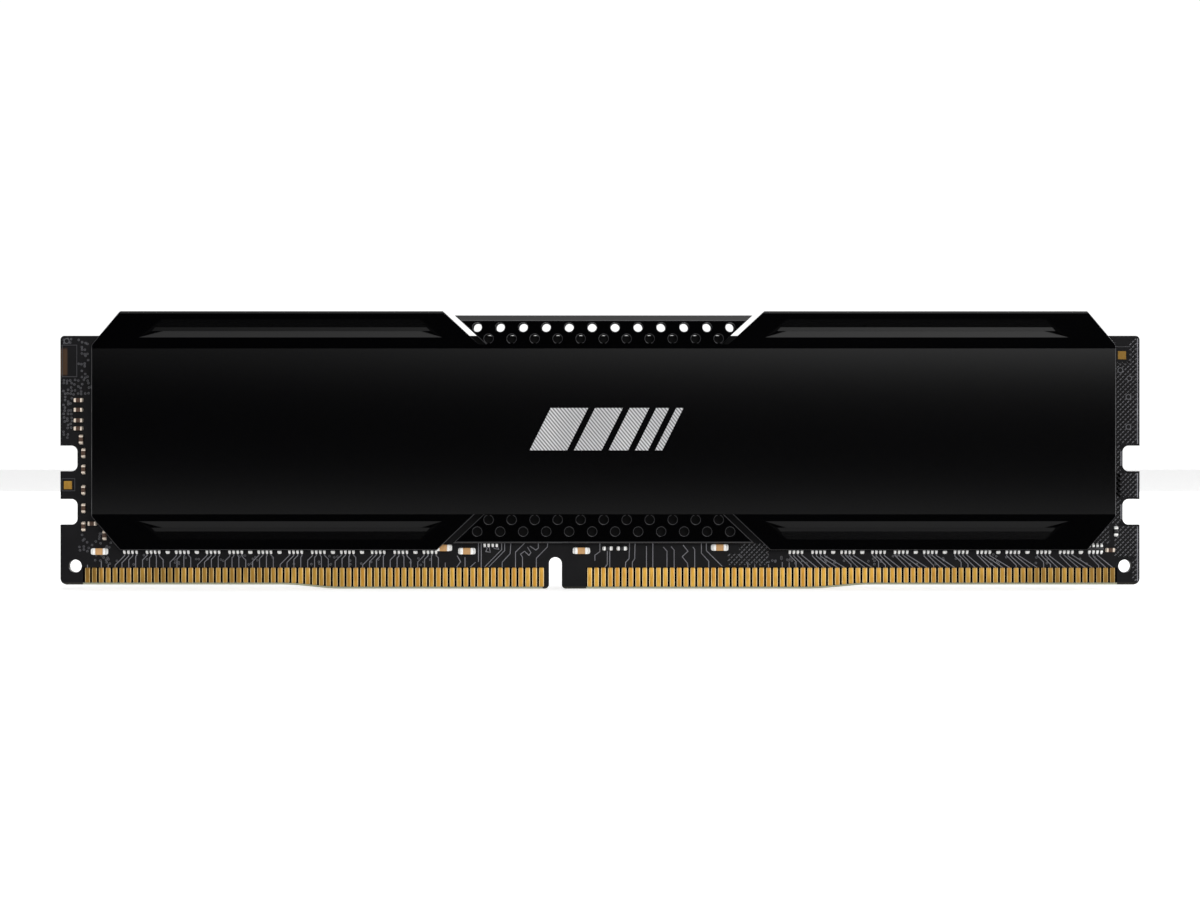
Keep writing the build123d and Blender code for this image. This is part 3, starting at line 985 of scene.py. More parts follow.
def refined_copy(
    node: str,
    finishes: Sequence[bpy.types.Material],
    width: float,
    segments: int = 2,
    kind_of: Callable[[bmesh.types.BMEdge], EdgeKind] = plain_edge,
    smooth: bool = True,
) -> bpy.types.Object:
    """A merged copy of a CAD node whose edges are rounded by a bevel.

    Args:
        node: The CAD node; the copy is called after it.
        finishes: The piece's material and, where it has its own, the rounded edges' material.
        width: Width of the rounding, in millimetres.
        segments: Steps across the rounding.
        kind_of: Tells how an edge is treated.
        smooth: Whether shading runs over the rounded edges; sheet with many creases is shaded flat.

    Returns:
        The piece that stands for the node.
    """
    name = f"{node}_rounded"
    mesh = frame["nodes"][node].data.copy()
    mesh.name = name
    work = bmesh.new()
    work.from_mesh(mesh)
    bmesh.ops.remove_doubles(work, verts=work.verts, dist=MERGE_DISTANCE * MM)
    bmesh.ops.dissolve_limit(
        work,
        angle_limit=FLAT_ANGLE,
        verts=work.verts,
        edges=work.edges,
        use_dissolve_boundaries=False,
    )
    bmesh.ops.recalc_face_normals(work, faces=work.faces)
    for face in work.faces:
        face.smooth = smooth
    weight = work.edges.layers.float.new("bevel_weight_edge")
    for edge in work.edges:
        kind = kind_of(edge)
        edge[weight] = 1.0 if kind is EdgeKind.ROUND else 0.0
        edge.smooth = kind is not EdgeKind.CREASE
    work.to_mesh(mesh)
    work.free()
    mesh.materials.clear()
    for finish in finishes:
        mesh.materials.append(finish)
    piece = bpy.data.objects.new(name, mesh)
    bpy.context.scene.collection.objects.link(piece)
    bevel = piece.modifiers.new("rounded_edges", "BEVEL")
    bevel.width = width * MM
    bevel.segments = segments
    bevel.limit_method = "WEIGHT"
    bevel.material = len(finishes) - 1
    bevel.use_clamp_overlap = False
    bevel.harden_normals = smooth
    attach(piece, BODY)
    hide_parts(node)
    return piece


# ------------------------------------------------------------------ sub-assemblies


@dataclass
class Board:
    """The board's faces: traces, hatched copper, vias, rims and outlines.

    Boxes are (low X, low Z, high X, high Z), lines (X, low Z, high Z), banks (first X, contacts).
    """

    finishes: Finishes
    half_thickness: float = 0.7
    contact_pitch: float = 0.85
    contact_top: float = 2.6
    trace_width: float = 0.1
    trace_height: float = 0.03
    pad_middle: float = 4.8
    pad_foot: float = 4.42
    openings: tuple = ((-5.52, 3.1, 1.25), (-64.85, 2.8, 1.15), (64.85, 2.8, 1.15))
    fan_lean: float = 0.9
    stipple_box: tuple = (-66.2, 18.6, -62.9, 30.9)
    stipple_pitch: float = 0.42
    stipple_shift: float = 0.12
    stipple_share: float = 0.62
    large_vias: tuple = (
        (65.4, 26.0),
        (65.3, 23.7),
        (65.3, 20.0),
        (-65.9, 30.6),
        (-62.6, 24.9),
        (64.3, 27.0),
    )
    outline_boxes: tuple = (
        (-66.45, 26.2, -64.65, 30.1),
        (-66.5, 12.1, -64.9, 13.6),
        (63.4, 27.8, 65.6, 29.9),
    )
    outline_width: float = 0.09
    rim_lines: tuple = (
        (66.42, 17.9, 30.9),
        (66.42, 11.3, 14.3),
        (66.42, 0.95, 7.7),
        (64.38, 8.6, 10.4),
        (64.38, 15.2, 17.0),
    )
    rim_width: float = 0.16
    hatch_pitch: float = 0.62
    hatch_boxes: tuple = (
        (63.6, 17.9, 66.35, 28.0),
        (65.4, 28.0, 66.35, 30.9),
        (63.6, 11.35, 66.35, 14.25),
        (63.3, 7.9, 64.3, 17.7),
        (63.6, 3.95, 66.35, 7.7),
        (65.8, 0.9, 66.35, 3.9),
        (61.0, 5.6, 63.0, 9.0),
        (15.8, 2.95, 20.8, 4.4),
        (17.2, 4.4, 20.8, 5.6),
    )
    window_middle: float = -1.0
    window_half: float = 18.0
    laid_paths: tuple = (
        ((-15.02, 5.62), (-15.02, 3.33)),
        ((-14.68, 5.62), (-14.68, 2.62)),
        ((-12.15, 5.62), (-12.15, 4.83), (-14.23, 2.71)),
        ((-11.78, 5.62), (-11.78, 4.71), (-13.74, 2.71)),
        ((-11.01, 5.62), (-11.11, 4.33), (-12.09, 3.27), (-12.09, 2.62)),
        ((-9.33, 5.62), (-10.44, 4.52), (-10.44, 2.62)),
        (
            (-8.97, 5.15),
            (-8.54, 4.46),
            (-8.78, 4.12),
            (-9.33, 4.64),
            (-9.82, 4.27),
            (-9.58, 3.89),
            (-9.58, 2.62),
        ),
        ((-7.62, 5.62), (-7.62, 5.02), (-7.93, 4.77), (-8.66, 5.27)),
        ((-6.46, 5.62), (-6.52, 5.15), (-7.87, 3.77), (-7.87, 2.62)),
        ((-17.65, 4.08), (-17.23, 3.33), (-17.72, 2.64)),
        ((-16.68, 3.89), (-16.68, 2.71)),
        ((-15.39, 3.27), (-16.06, 2.64)),
        ((-14.29, 5.27), (-13.92, 5.02), (-14.11, 4.58), (-13.56, 4.52), (-13.68, 5.15)),
        ((-13.19, 5.27), (-13.07, 4.96), (-12.52, 4.89), (-12.7, 5.33)),
        ((-0.01, 5.62), (-0.01, 4.58), (-0.63, 4.14), (-0.63, 3.46)),
        ((0.9, 4.64), (0.9, 3.02), (0.6, 2.62)),
        ((1.21, 4.64), (1.21, 2.62)),
        ((3.66, 5.62), (3.59, 3.71), (3.17, 3.27), (3.14, 2.62)),
        ((4.33, 5.62), (4.29, 3.71), (4.0, 3.27), (4.0, 2.62)),
        ((5.74, 5.27), (5.74, 2.62)),
        ((6.53, 5.62), (6.53, 2.62)),
        ((7.82, 5.15), (8.28, 4.64), (8.28, 2.62)),
        ((8.79, 5.21), (9.16, 4.77), (9.16, 2.62)),
        ((10.26, 5.4), (10.87, 4.64), (10.16, 3.96), (10.81, 3.14), (10.87, 2.62)),
        ((11.49, 5.15), (11.71, 4.83), (11.71, 2.62)),
        ((12.53, 5.62), (12.53, 4.39), (13.44, 3.39), (13.44, 2.62)),
        ((13.14, 5.62), (13.14, 4.71), (15.1, 2.77)),
    )
    banks: tuple = ((-63.325, 67), (-1.275, 77))
    seed: int = 7

    def build(self) -> None:
        """Lays the copper on both faces."""
        for side in Side:
            self.lay_copper(side)

    def lay_copper(self, side: Side) -> None:
        """Makes one face's traces, hatch, vias, rims and outlines.

        Args:
            side: The board's face.
        """
        copper, mesh_copper = self.finishes.copper, self.finishes.mesh_copper
        parts = (
            ("traces", self.traces(), copper),
            ("window_traces", self.window_traces(), copper),
            ("hatch_ridges", self.hatch(1), mesh_copper),
            ("hatch_gaps", self.hatch(-1), self.finishes[Slot.BOARD]),
            ("vias", self.vias(), mesh_copper),
            ("via_middles", self.via_middles(), self.finishes[Slot.BOARD]),
            ("rims", self.rims(), copper),
            ("outlines", self.outlines(), self.finishes.dim_copper),
        )
        for name, (points, faces), finish in parts:
            piece = add_piece(f"{side.prefix}_{name}", *to_side(points, faces, side), finish, Slot.BOARD)
            outward_checked(piece)
            LOG.info("%s: %d faces", piece.name, len(faces))

    def clear_of_openings(self, places: Points) -> Points:
        """Leaves out the places that lie on the key slot or a tooling hole.

        Args:
            places: (n, 2) places in X and Z.

        Returns:
            Those that are clear of every opening.
        """
        keep = np.ones(len(places), dtype=bool)
        for x, z, radius in self.openings:
            keep &= np.hypot(places[:, 0] - x, places[:, 1] - z) > radius
        return places[keep]

    def laid(self, paths: Points) -> tuple[Points, Faces]:
        """Traces of the usual width and height along paths."""
        return ribbons(paths, self.trace_width, self.trace_height, self.half_thickness)

    def traces(self) -> tuple[Points, Faces]:
        """Traces from the contacts outside the window, in fans of four, up to the pads above them.

        Each pad of the lower row takes the next free contact on the side away from the window. The
        trace goes up from the contact, sideways at 45 degrees, and up again to its pad. A contact
        with no pad gets a short stub.

        Returns:
            Points and faces of the traces and stubs.
        """
        sets = []
        random = np.random.default_rng(self.seed)
        pads, _ = islands("front_resistor_array_pads")
        low_pads = np.sort(pads[pads[:, 1] < self.pad_middle, 0])
        low_pads = low_pads[np.abs(low_pads - self.window_middle) > self.window_half]
        for first, count in self.banks:
            lean = math.copysign(1.0, first + self.contact_pitch * count / 2)
            end = first + self.contact_pitch * (count - 1)
            above = (low_pads > first - self.contact_pitch) & (low_pads < end + self.contact_pitch)
            pad = low_pads[above]
            step = np.arange(len(pad))
            wanted = np.round((pad + self.fan_lean * lean - first) / self.contact_pitch).astype(int)
            index = np.maximum.accumulate(wanted - step) + step
            fits = (index >= 0) & (index < count)
            pad, index = pad[fits], index[fits]
            x = first + self.contact_pitch * index
            start = np.full_like(x, self.contact_top - 0.05)
            bend = self.pad_foot - 0.25 - 0.15 * random.random(len(x))
            low = np.maximum(bend - np.abs(pad - x), self.contact_top + 0.05)
            paths = [
                np.stack([x, start], axis=-1),
                np.stack([x, low], axis=-1),
                np.stack([pad, bend], axis=-1),
                np.stack([pad, np.full_like(x, self.pad_foot)], axis=-1),
            ]
            sets.append(self.laid(np.stack(paths, axis=1)))
            spare = np.setdiff1d(np.arange(count), index)
            x = first + self.contact_pitch * spare[random.random(len(spare)) < 0.6]
            x = x[np.abs(x - self.window_middle) > self.window_half]
            top = self.contact_top + 0.3 + 0.5 * random.random(len(x))
            foot = np.full_like(x, self.contact_top - 0.05)
            stubs = np.stack([np.stack([x, foot], axis=-1), np.stack([x, top], axis=-1)], axis=1)
            sets.append(self.laid(stubs))
        return join_parts(sets)

    def window_traces(self) -> tuple[Points, Faces]:
        """The traces that show below the spreader's window, each laid point by point."""
        return join_parts([self.laid(np.array([path])) for path in self.laid_paths])

    def hatch(self, lean: int) -> tuple[Points, Faces]:
        """Copper hatched at 45 degrees in the open areas, with mask-filled gaps across the ridges.

        The line z = lean * x + c runs through each box from where it enters to where it leaves.

        Args:
            lean: 1 for the copper ridges, which rise with X, -1 for the gaps, which fall.

        Returns:
            Points and faces of the ridges.
        """
        pitch, paths = self.hatch_pitch, []
        for low_x, low_z, high_x, high_z in self.hatch_boxes:
            ends = [z - lean * x for z in (low_z, high_z) for x in (low_x, high_x)]
            c = np.arange(math.ceil(min(ends) / pitch) * pitch, max(ends), pitch)
            at_low, at_high = (low_z - c) / lean, (high_z - c) / lean
            left = np.maximum(np.minimum(at_low, at_high), low_x)
            right = np.minimum(np.maximum(at_low, at_high), high_x)
            keep = right - left > 0.25
            left, right, c = left[keep], right[keep], c[keep]
            a = np.stack([left, lean * left + c], axis=-1)
            b = np.stack([right, lean * right + c], axis=-1)
            paths.append(np.stack([a, b], axis=1))
        width, height = (0.15, 1.0) if lean > 0 else (0.2, 1.5)
        return ribbons(np.concatenate(paths), width, height * self.trace_height, self.half_thickness)

    def vias(self) -> tuple[Points, Faces]:
        """Small rings: a stippled field at the upper left, single vias elsewhere.

        Returns:
            Points and faces of the rings.
        """
        random = np.random.default_rng(self.seed + 1)
        low_x, low_z, high_x, high_z = self.stipple_box
        pitch, shift = self.stipple_pitch, self.stipple_shift
        grid = np.meshgrid(np.arange(low_x, high_x, pitch), np.arange(low_z, high_z, pitch))
        stipple = np.stack([axis.ravel() for axis in grid], axis=-1)
        stipple = stipple + random.uniform(-shift, shift, stipple.shape)
        keep = random.random(len(stipple)) < self.stipple_share
        x, z = stipple.T
        outlined = (x < -64.5) & (z > 25.9) & (z < 30.3)
        crowded = (x > -65.2) & (z < 24.0)
        stipple = stipple[keep & ~outlined & ~crowded]
        low = np.stack([random.uniform(-62, 62, 150), random.uniform(2.95, 4.3, 150)], axis=-1)
        low = low[np.abs(low[:, 0] - self.window_middle) > self.window_half]
        corner = np.stack([random.uniform(-64.4, -60.2, 34), random.uniform(3.0, 7.2, 34)], axis=-1)
        small_at = self.clear_of_openings(np.concatenate([stipple, low, corner]))
        small = rings_on_face(small_at, 0.11, 0.08, 0.02, self.half_thickness, 8)
        large = rings_on_face(np.array(self.large_vias), 0.3, 0.12, 0.05, self.half_thickness)
        return join_parts([small, large])

    def via_middles(self) -> tuple[Points, Faces]:
        """Dark mask inside the larger rings, standing over the hatch."""
        return rings_on_face(np.array(self.large_vias), 0.14, 0.3, 0.06, self.half_thickness)

    def outlines(self) -> tuple[Points, Faces]:
        """Thin outlines: an empty frame at the upper left, and frames round the fiducials.

        Returns:
            Points and faces of the outlines.
        """
        round_a_box = [[0, 1], [2, 1], [2, 3], [0, 3], [0, 1]]
        corners = np.array(self.outline_boxes)[:, round_a_box]
        return ribbons(corners, self.outline_width, self.trace_height, self.half_thickness)

    def rims(self) -> tuple[Points, Faces]:
        """Copper lines just inside the right end and beside its latch notches."""
        paths = np.array([[(x, low_end), (x, high_end)] for x, low_end, high_end in self.rim_lines])
        return ribbons(paths, self.rim_width, self.trace_height, self.half_thickness)


@dataclass
class EdgeContacts:
    """Gold contacts, each with a domed section and softened ends."""

    finishes: Finishes
    pitch: float = 0.85
    width: float = 0.6
    top: float = 2.6
    foot: float = 0.25
    thickness: float = 0.045
    base: float = 0.7
    end_edge: float = 0.5
    key_x: float = -5.52
    left_ramp: tuple = (-39.2, -32.1)
    right_ramp: tuple = (25.8, 33.6)

    def edge_height(self, x: Points) -> Points:
        """Height of the contact edge: end_edge * s^2 * (3 - 2 s), with s from 0 to 1 along each ramp.

        Args:
            x: Places along the edge.

        Returns:
            The edge's height at each.
        """
        left = (self.left_ramp[1] - x) / (self.left_ramp[1] - self.left_ramp[0])
        right = (x - self.right_ramp[0]) / (self.right_ramp[1] - self.right_ramp[0])
        share = np.clip(np.where(x < self.key_x, left, right), 0, 1)
        return self.end_edge * share**2 * (3 - 2 * share)

    def bank(self, first: float, count: int) -> tuple[Points, Faces]:
        """Contacts from first on: a domed section carried from foot to top, smaller at both ends.

        Args:
            first: The first contact's X.
            count: How many there are.

        Returns:
            Points and faces of the contacts.
        """
        x = first + self.pitch * np.arange(count)
        foot = self.edge_height(x) + self.foot
        along = np.array([0.0, 0.025, 0.06, 0.5, 0.94, 0.975, 1.0])
        shrink = np.array([0.8, 0.93, 1.0, 1.0, 1.0, 0.93, 0.8])
        lift = np.array([0.3, 0.8, 1.0, 1.0, 1.0, 0.8, 0.3])
        section = np.array(
            [
                [-0.48, -0.1],
                [-0.47, 0.3],
                [-0.39, 0.72],
                [-0.25, 1.0],
                [0.25, 1.0],
                [0.39, 0.72],
                [0.47, 0.3],
                [0.48, -0.1],
            ]
        )
        z = foot[:, None] + along[None, :] * (self.top - foot)[:, None]
        px = x[:, None, None] + self.width * section[None, None, :, 0] * shrink[None, :, None]
        py = -(self.base + self.thickness * section[None, None, :, 1] * lift[None, :, None])
        shape = (len(x), len(along), len(section))
        points = np.stack([np.broadcast_to(axis, shape) for axis in (px, py, z[..., None])], axis=-1)
        return points.reshape(-1, 3), tube_faces(*shape)

    def build(self) -> None:
        """Makes the four banks in place of their CAD nodes."""
        for side in Side:
            for bank in ("left", "right"):
                node = f"{side.prefix}_contacts_{bank}_bank"
                low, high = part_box(node)
                count = round(((high.x - low.x) / MM - self.width) / self.pitch) + 1
                points, faces = self.bank(low.x / MM + self.width / 2, count)
                points, faces = to_side(points, faces, side)
                gold = self.finishes[Slot.GOLD]
                piece = add_piece(f"{node}_plated", points, faces, gold, Slot.GOLD, smooth=True)
                outward_checked(piece)
                piece.data.set_sharp_from_angle(angle=math.radians(50))
                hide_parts(node)
                LOG.info("%s: %d contacts", piece.name, count)


@dataclass
class SolderBalls:
    """Squashed balls between board and chip."""

    finishes: Finishes
    pitch: float = 0.8
    rows: int = 13
    group_x: float = 2.4
    radius: float = 0.225
    bulge: float = 0.035
    base: float = 0.7
    height: float = 0.3
    sides: int = 8

    def build(self) -> None:
        """Rings of radius r + bulge * (1 - u^2), for u from -1 at the board to 1 at the chip."""
        for side in Side:
            boxes = [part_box(f"{side.prefix}_memory_chip_{n}") for n in range(1, 9)]
            middles = np.array([((a.x + b.x) / 2 / MM, (a.z + b.z) / 2 / MM) for a, b in boxes])
            across = np.array([s * self.group_x + c * self.pitch for s in (-1, 1) for c in (-1, 0, 1)])
            up = (np.arange(self.rows) - (self.rows - 1) / 2) * self.pitch
            grid = np.stack(np.meshgrid(across, up), axis=-1).reshape(-1, 2)
            centres = (middles[:, None, :] + grid[None, :, :]).reshape(-1, 2)
            level = np.array([-1.0, -0.45, 0.45, 1.0])
            angle = np.linspace(0, 2 * np.pi, self.sides, endpoint=False)
            reach = self.radius + self.bulge * (1 - level**2)
            shape = (len(centres), len(level), self.sides)
            x = centres[:, None, None, 0] + reach[None, :, None] * np.cos(angle)
            z = centres[:, None, None, 1] + reach[None, :, None] * np.sin(angle)
            y = np.broadcast_to(-(self.base + self.height * (level[None, :, None] + 1) / 2), shape)
            points = np.stack([x, y, z], axis=-1).reshape(-1, 3)
            node = f"{side.prefix}_solder_balls"
            piece = add_piece(
                f"{node}_squashed",
                *to_side(points, tube_faces(*shape), side),
                self.finishes[Slot.SOLDER],
                Slot.SOLDER,
                smooth=True,
            )
            outward_checked(piece)
            piece.data.set_sharp_from_angle(angle=math.radians(60))
            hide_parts(node)
            LOG.info("%s: %d balls", piece.name, len(centres))


@dataclass
class SmallParts:
    """Bodies, caps and solder fillets of the resistors and capacitors."""

    finishes: Finishes
    base: float = 0.7
    solder_height: float = 0.3
    solder_sides: int = 16
    body_round: float = 0.05
    cap_round: float = 0.07
    flares: dict = field(
        default_factory=lambda: {
            "edge_capacitor": 0.12,
            "bulk_capacitor": 0.3,
            "single_resistor": 0.16,
            "decoupling_capacitor": 0.12,
            "resistor_array": 0.18,
        }
    )

    def build(self) -> None:
        """Rounds every body and cap, and runs solder round the caps' feet."""
        for side in Side:
            for kind in self.flares:
                if f"{side.prefix}_{kind}_bodies" in frame["nodes"]:
                    self.dress(side, kind, "pads" if kind == "resistor_array" else "caps")

    def dress(self, side: Side, kind: str, ends: str) -> None:
        """Makes one kind's rounded bodies and ends on one face, and its solder.

        Args:
            side: The board's face.
            kind: The start of the kind's node names.
            ends: The name of its metal ends.
        """
        bodies, caps = f"{side.prefix}_{kind}_bodies", f"{side.prefix}_{kind}_{ends}"
        finish, metal = self.looks(kind)
        refined_copy(bodies, [finish], self.body_round)
        refined_copy(caps, [metal], self.cap_round)
        centres, halves = islands(caps)
        middles, _ = islands(bodies)
        away = self.outward(centres, middles, kind)
        points, faces = self.fillets(centres, halves, away, self.flares[kind])
        name = f"{side.prefix}_{kind}_solder"
        piece = add_piece(name, *to_side(points, faces, side), metal, Slot.TIN, smooth=True)
        outward_checked(piece)
        LOG.info("%s: %d ends", name, len(centres))

    def looks(self, kind: str) -> tuple[bpy.types.Material, bpy.types.Material]:
        """The finishes of a kind.

        Args:
            kind: The kind.

        Returns:
            The finish of its bodies and that of its metal ends.
        """
        if "resistor" in kind:
            return self.finishes[Slot.RESISTOR], self.finishes[Slot.TIN]
        if kind == "edge_capacitor":
            return self.finishes.brown_ceramic, self.finishes.warm_tin
        return self.finishes[Slot.CAPACITOR], self.finishes[Slot.TIN]

    def outward(self, centres: Points, middles: Points, kind: str) -> Points:
        """Directions from the nearest body to each end; an array's all point straight up or down.

        Args:
            centres: (n, 2) middles of the ends in X and Z.
            middles: (m, 2) middles of the bodies.
            kind: Their kind.

        Returns:
            (n, 2) directions of length 1.
        """
        gaps = centres[:, None, :] - middles[None, :, :]
        nearest = np.argmin((gaps**2).sum(axis=2), axis=1)
        away = gaps[np.arange(len(centres)), nearest]
        if kind == "resistor_array":
            away[:, 0] = 0.0
        return away / np.linalg.norm(away, axis=1, keepdims=True)

    def fillets(
        self, centres: Points, halves: Points, outward: Points, flare: float
    ) -> tuple[Points, Faces]:
        """Hollow-sided solder that runs out from each end, away from the part's body.

        The outline is a superellipse of the end's half sizes. Where it faces outward it is moved that
        way by flare * (1 - h)^2 at height h, so that the solder's side is concave.

        Args:
            centres: (n, 2) middles of the ends in X and Z.
            halves: (n, 2) half sizes of the ends.
            outward: (n, 2) directions away from the body.
            flare: How far the solder runs out at the board.

        Returns:
            Points and faces of n closed fillets.
        """
        sides = self.solder_sides
        angle = np.linspace(0, 2 * np.pi, sides, endpoint=False) + np.pi / sides
        corner = np.stack([np.cos(angle), np.sin(angle)], axis=-1)
        corner = np.sign(corner) * np.abs(corner) ** 0.5
        share = np.array([0.0, 0.15, 0.4, 0.75, 1.0])
        reach = flare * (1 - share) ** 2
        facing = np.clip(outward @ corner.T, 0, 1)
        moved = reach[None, :, None, None] * facing[:, None, :, None] * outward[:, None, None, :]
        rim = halves[:, None, None, :] * (1.0 + 0.03 * (1 - share))[None, :, None, None] * corner
        flat = centres[:, None, None, :] + rim + moved
        shape = (len(centres), len(share), sides)
        sunk = 0.01 * (share == 0)  # the foot's ring lies just inside the board
        y = np.broadcast_to((sunk - self.base - self.solder_height * share)[None, :, None], shape)
        points = np.stack([flat[..., 0], y, flat[..., 1]], axis=-1).reshape(-1, 3)
        return points, tube_faces(*shape)


@dataclass
class HeatSpreader:
    """One pressed spreader half, with rounded cut edges whose lighter, glossier finish is a painted
    highlight.

    The boxes give the low and high X and Z of the places whose edges stay sharp: the four pressed
    recesses and the roots of the two vent strips.
    """

    finishes: Finishes
    side: Side
    edge_round: float = 0.07
    sharp_boxes: tuple = (
        (19.4, 30.9, 58.5, 33.5),
        (-57.6, 30.9, -18.5, 33.5),
        (19.4, 5.9, 58.5, 8.45),
        (-57.6, 5.9, -18.5, 8.45),
        (-15.2, 29.5, 16.1, 30.3),
        (-15.6, 9.1, 16.5, 9.4),
    )

    def edge_kind(self, edge: bmesh.types.BMEdge) -> EdgeKind:
        """Cut edges are rounded, recesses, creases and bends stay sharp, and hole walls are smooth.

        Args:
            edge: An edge of the CAD shell.

        Returns:
            How it is treated.
        """
        angle = math.degrees(edge.calc_face_angle(0.0))
        ends = [vert.co / MM for vert in edge.verts]
        for low_x, low_z, high_x, high_z in self.sharp_boxes:
            if angle > 5 and all(low_x < end.x < high_x and low_z < end.z < high_z for end in ends):
                return EdgeKind.CREASE
        if angle > 25:
            return EdgeKind.ROUND
        lengthways = abs(ends[1].x - ends[0].x) > 0.9 * (ends[1] - ends[0]).length
        return EdgeKind.CREASE if angle > 5 and lengthways else EdgeKind.BLEND

    def build(self) -> None:
        """Rounds the CAD shell's edges."""
        piece = refined_copy(
            f"{self.side.prefix}_heat_spreader",
            [self.finishes[Slot.SPREADER], self.finishes.cut_edge_highlight],
            self.edge_round,
            kind_of=self.edge_kind,
            smooth=False,
        )
        LOG.info("%s: %d faces", piece.name, len(piece.data.polygons))


class Module:
    """The whole module, built part by part."""

    def __init__(self) -> None:
        """Makes the finishes and the sub-assemblies."""
        self.finishes = Finishes()
        self.parts = [
            Board(self.finishes),
            EdgeContacts(self.finishes),
            SolderBalls(self.finishes),
            SmallParts(self.finishes),
            HeatSpreader(self.finishes, Side.FRONT),
            HeatSpreader(self.finishes, Side.REAR),
        ]

    def build(self) -> None:
        """Dresses every CAD node by its slot, and then builds the finer pieces."""
        slots = {entry["node"]: entry["material_slot"] for entry in frame["record"]["subparts"]}
        for name, node in frame["nodes"].items():
            node.data.materials.clear()
            node.data.materials.append(self.finishes[Slot(slots[name])])
        for part in self.parts:
            part.build()
            LOG.info("%s done", type(part).__name__)


# ------------------------------------------------------------------ studio


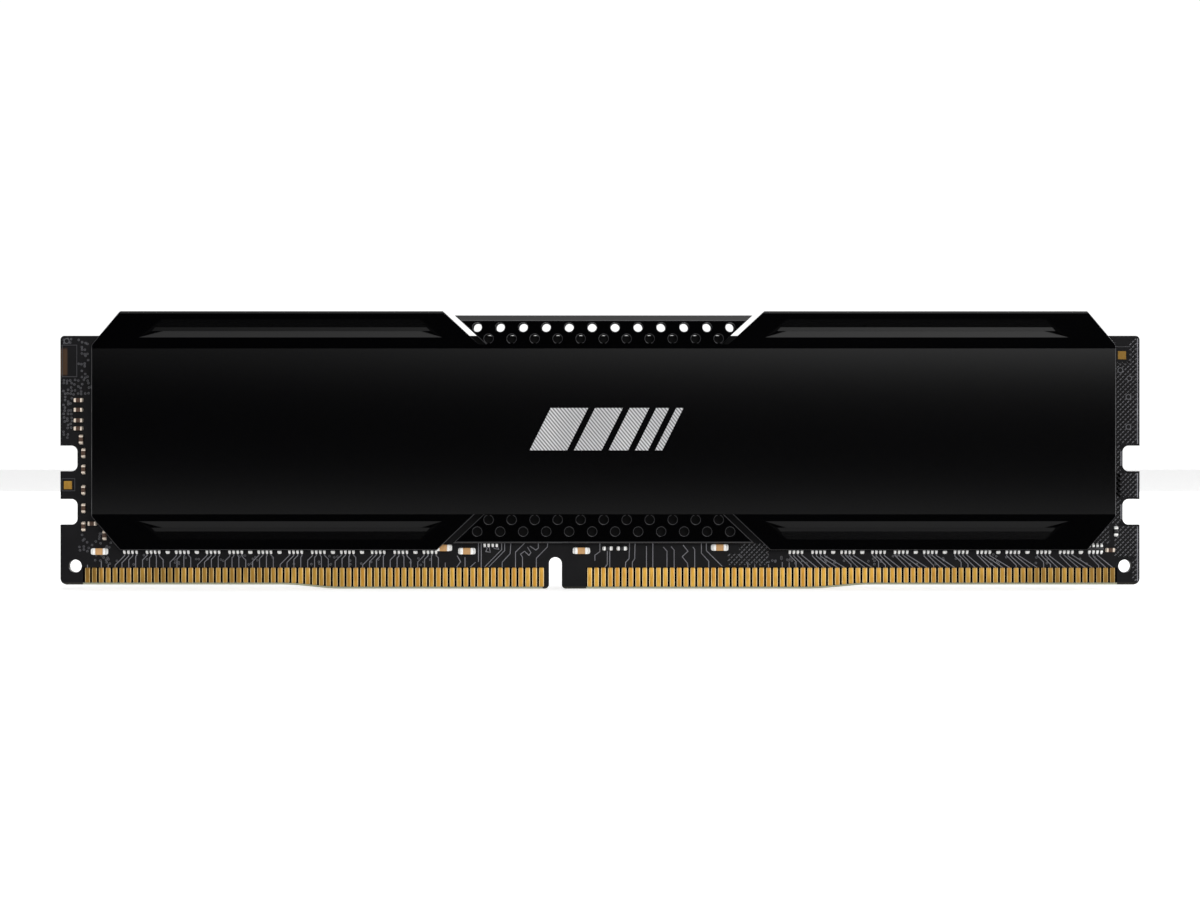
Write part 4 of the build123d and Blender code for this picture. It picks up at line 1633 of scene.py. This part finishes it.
@dataclass
class Studio:
    """White floor, soft sky with dark and bright bands, overhead panel and camera."""

    lens: float = 120.0
    distance: float = 0.495
    eye_height: float = 0.01714
    floor_half: float = 3.0
    fill: float = 3.4
    floor_glow: float = 0.52
    bands: tuple = (
        (-1.0, 0.7),
        (-0.75, 0.7),
        (-0.66, 0.02),
        (-0.42, 0.02),
        (-0.32, 0.5),
        (-0.24, 1.2),
        (-0.12, 1.2),
        (-0.05, 0.01),
        (0.06, 0.01),
        (0.13, 2.1),
        (0.3, 2.1),
        (0.38, 0.02),
        (0.7, 0.02),
        (0.84, 0.6),
        (1.0, 0.6),
    )

    def build(self) -> None:
        """Builds the surroundings."""
        self.make_floor()
        self.make_sky()
        self.make_panels()
        self.make_camera()
        bpy.context.scene.view_settings.view_transform = "Standard"

    def make_floor(self) -> None:
        """A white floor under the contact edge."""
        half = self.floor_half
        corners = [(-half, -half, 0), (half, -half, 0), (half, half, 0), (-half, half, 0)]
        mesh = bpy.data.meshes.new("studio_floor")
        mesh.from_pydata(corners, [], [(0, 1, 2, 3)])
        material, bench, shader = start_material("white_floor")
        bench.feed(shader.inputs["Base Color"], drifting(bench, (0.9, 0.9, 0.9, 1.0), 1.5, 0.02))
        shader.inputs["Roughness"].default_value = 0.9
        shader.inputs["Specular IOR Level"].default_value = 0.1
        shader.inputs["Emission Color"].default_value = (1, 1, 1, 1)
        shader.inputs["Emission Strength"].default_value = self.floor_glow
        mesh.materials.append(material)
        floor = bpy.data.objects.new("studio_floor", mesh)
        bpy.context.scene.collection.objects.link(floor)
        floor.visible_glossy = False

    def make_sky(self) -> None:
        """White to the camera; to surfaces, bands of light and dark by height above the horizon."""
        world = bpy.data.worlds.new("studio_sky")
        bpy.context.scene.world = world
        world.use_nodes = True
        world.node_tree.nodes.clear()
        bench = Bench(world.node_tree)
        across, _, upward = bench.parts(bench.add("TexCoord").outputs["Generated"])
        ramp = bench.add("ValToRGB")
        bench.feed(ramp.inputs[0], bench.math("MULTIPLY", bench.math("ADD", upward, 1.0), 0.5))
        while len(ramp.color_ramp.elements) > 1:
            ramp.color_ramp.elements.remove(ramp.color_ramp.elements[-1])
        peak = max(value for _, value in self.bands)
        for index, (height, value) in enumerate(self.bands):
            place = (height + 1) / 2
            element = ramp.color_ramp.elements[0] if index == 0 else ramp.color_ramp.elements.new(place)
            element.position = place
            element.color = (value / peak, value / peak, value / peak, 1.0)
        rightward = bench.span(across, -0.16, 0.16, -0.78 * peak, 0.6 * peak)
        above = bench.span(upward, -0.02, 0.02)
        sideways = bench.math("ABSOLUTE", across)
        strength = bench.math("ADD", bench.math("MULTIPLY", above, rightward), peak)
        strength = bench.math("MULTIPLY", strength, bench.span(sideways, 0.3, 0.7, 1.0, 0.3))
        level = bench.span(bench.math("ABSOLUTE", upward), 0.1, 0.3, 1.0, 0.1)
        edgeways = bench.math("MULTIPLY", bench.span(sideways, 0.35, 0.8, 0.0, 1.3), level)
        total = bench.add("VectorMath", operation="ADD")
        bench.feed(total.inputs[0], bench.scaled(ramp.outputs[0], strength))
        bench.feed(total.inputs[1], edgeways)
        sky = bench.add("Background")
        bench.feed(sky.inputs["Color"], total.outputs[0])
        white = bench.add("Background")
        white.inputs["Strength"].default_value = 1.05
        white.inputs["Color"].default_value = (1, 1, 1, 1)
        both = bench.add("MixShader")
        bench.feed(both.inputs[0], bench.add("LightPath").outputs["Is Camera Ray"])
        bench.feed(both.inputs[1], sky.outputs[0])
        bench.feed(both.inputs[2], white.outputs[0])
        output = bench.add("OutputWorld")
        bench.feed(output.inputs["Surface"], both.outputs[0])

    def add_panel(
        self, name: str, place: tuple, tip: float, size: float, energy: float
    ) -> bpy.types.Object:
        """Adds a square soft panel that the camera doesn't see.

        Args:
            name: Its name.
            place: Its middle.
            tip: How far it is turned about X; at 0 it shines straight down.
            size: Its side.
            energy: Its power in watts.

        Returns:
            The panel.
        """
        light = bpy.data.lights.new(name, "AREA")
        light.size = size
        light.energy = energy
        panel = bpy.data.objects.new(name, light)
        panel.location = place
        panel.rotation_euler = (tip, 0.0, 0.0)
        panel.visible_camera = False
        bpy.context.scene.collection.objects.link(panel)
        return panel

    def make_panels(self) -> None:
        """A broad panel overhead, and a weak one before each face that gives no reflection."""
        self.add_panel("overhead_panel", (0.25, -0.1, 1.0), 0.0, 1.2, 4.0)
        for side in Side:
            name = f"{side.prefix}_fill_panel"
            place = (0.0, side.value * 1.0, 0.4)
            fill = self.add_panel(name, place, -side.value * math.radians(70), 1.0, self.fill)
            fill.visible_glossy = False

    def make_camera(self) -> None:
        """A long lens square to the front face."""
        data = bpy.data.cameras.new("camera")
        data.lens = self.lens
        data.sensor_width = 36.0
        data.clip_start = 0.01
        data.clip_end = 20.0
        camera = bpy.data.objects.new("camera", data)
        camera.location = (0.0, -self.distance, self.eye_height)
        camera.rotation_euler = (math.pi / 2, 0.0, 0.0)
        bpy.context.scene.collection.objects.link(camera)
        bpy.context.scene.camera = camera


def main() -> None:
    """Builds the module and its studio."""
    logging.basicConfig(level=logging.INFO, format="%(name)s: %(message)s")
    Module().build()
    Studio().build()
    bpy.context.view_layer.update()


if __name__ == "__main__":
    main()
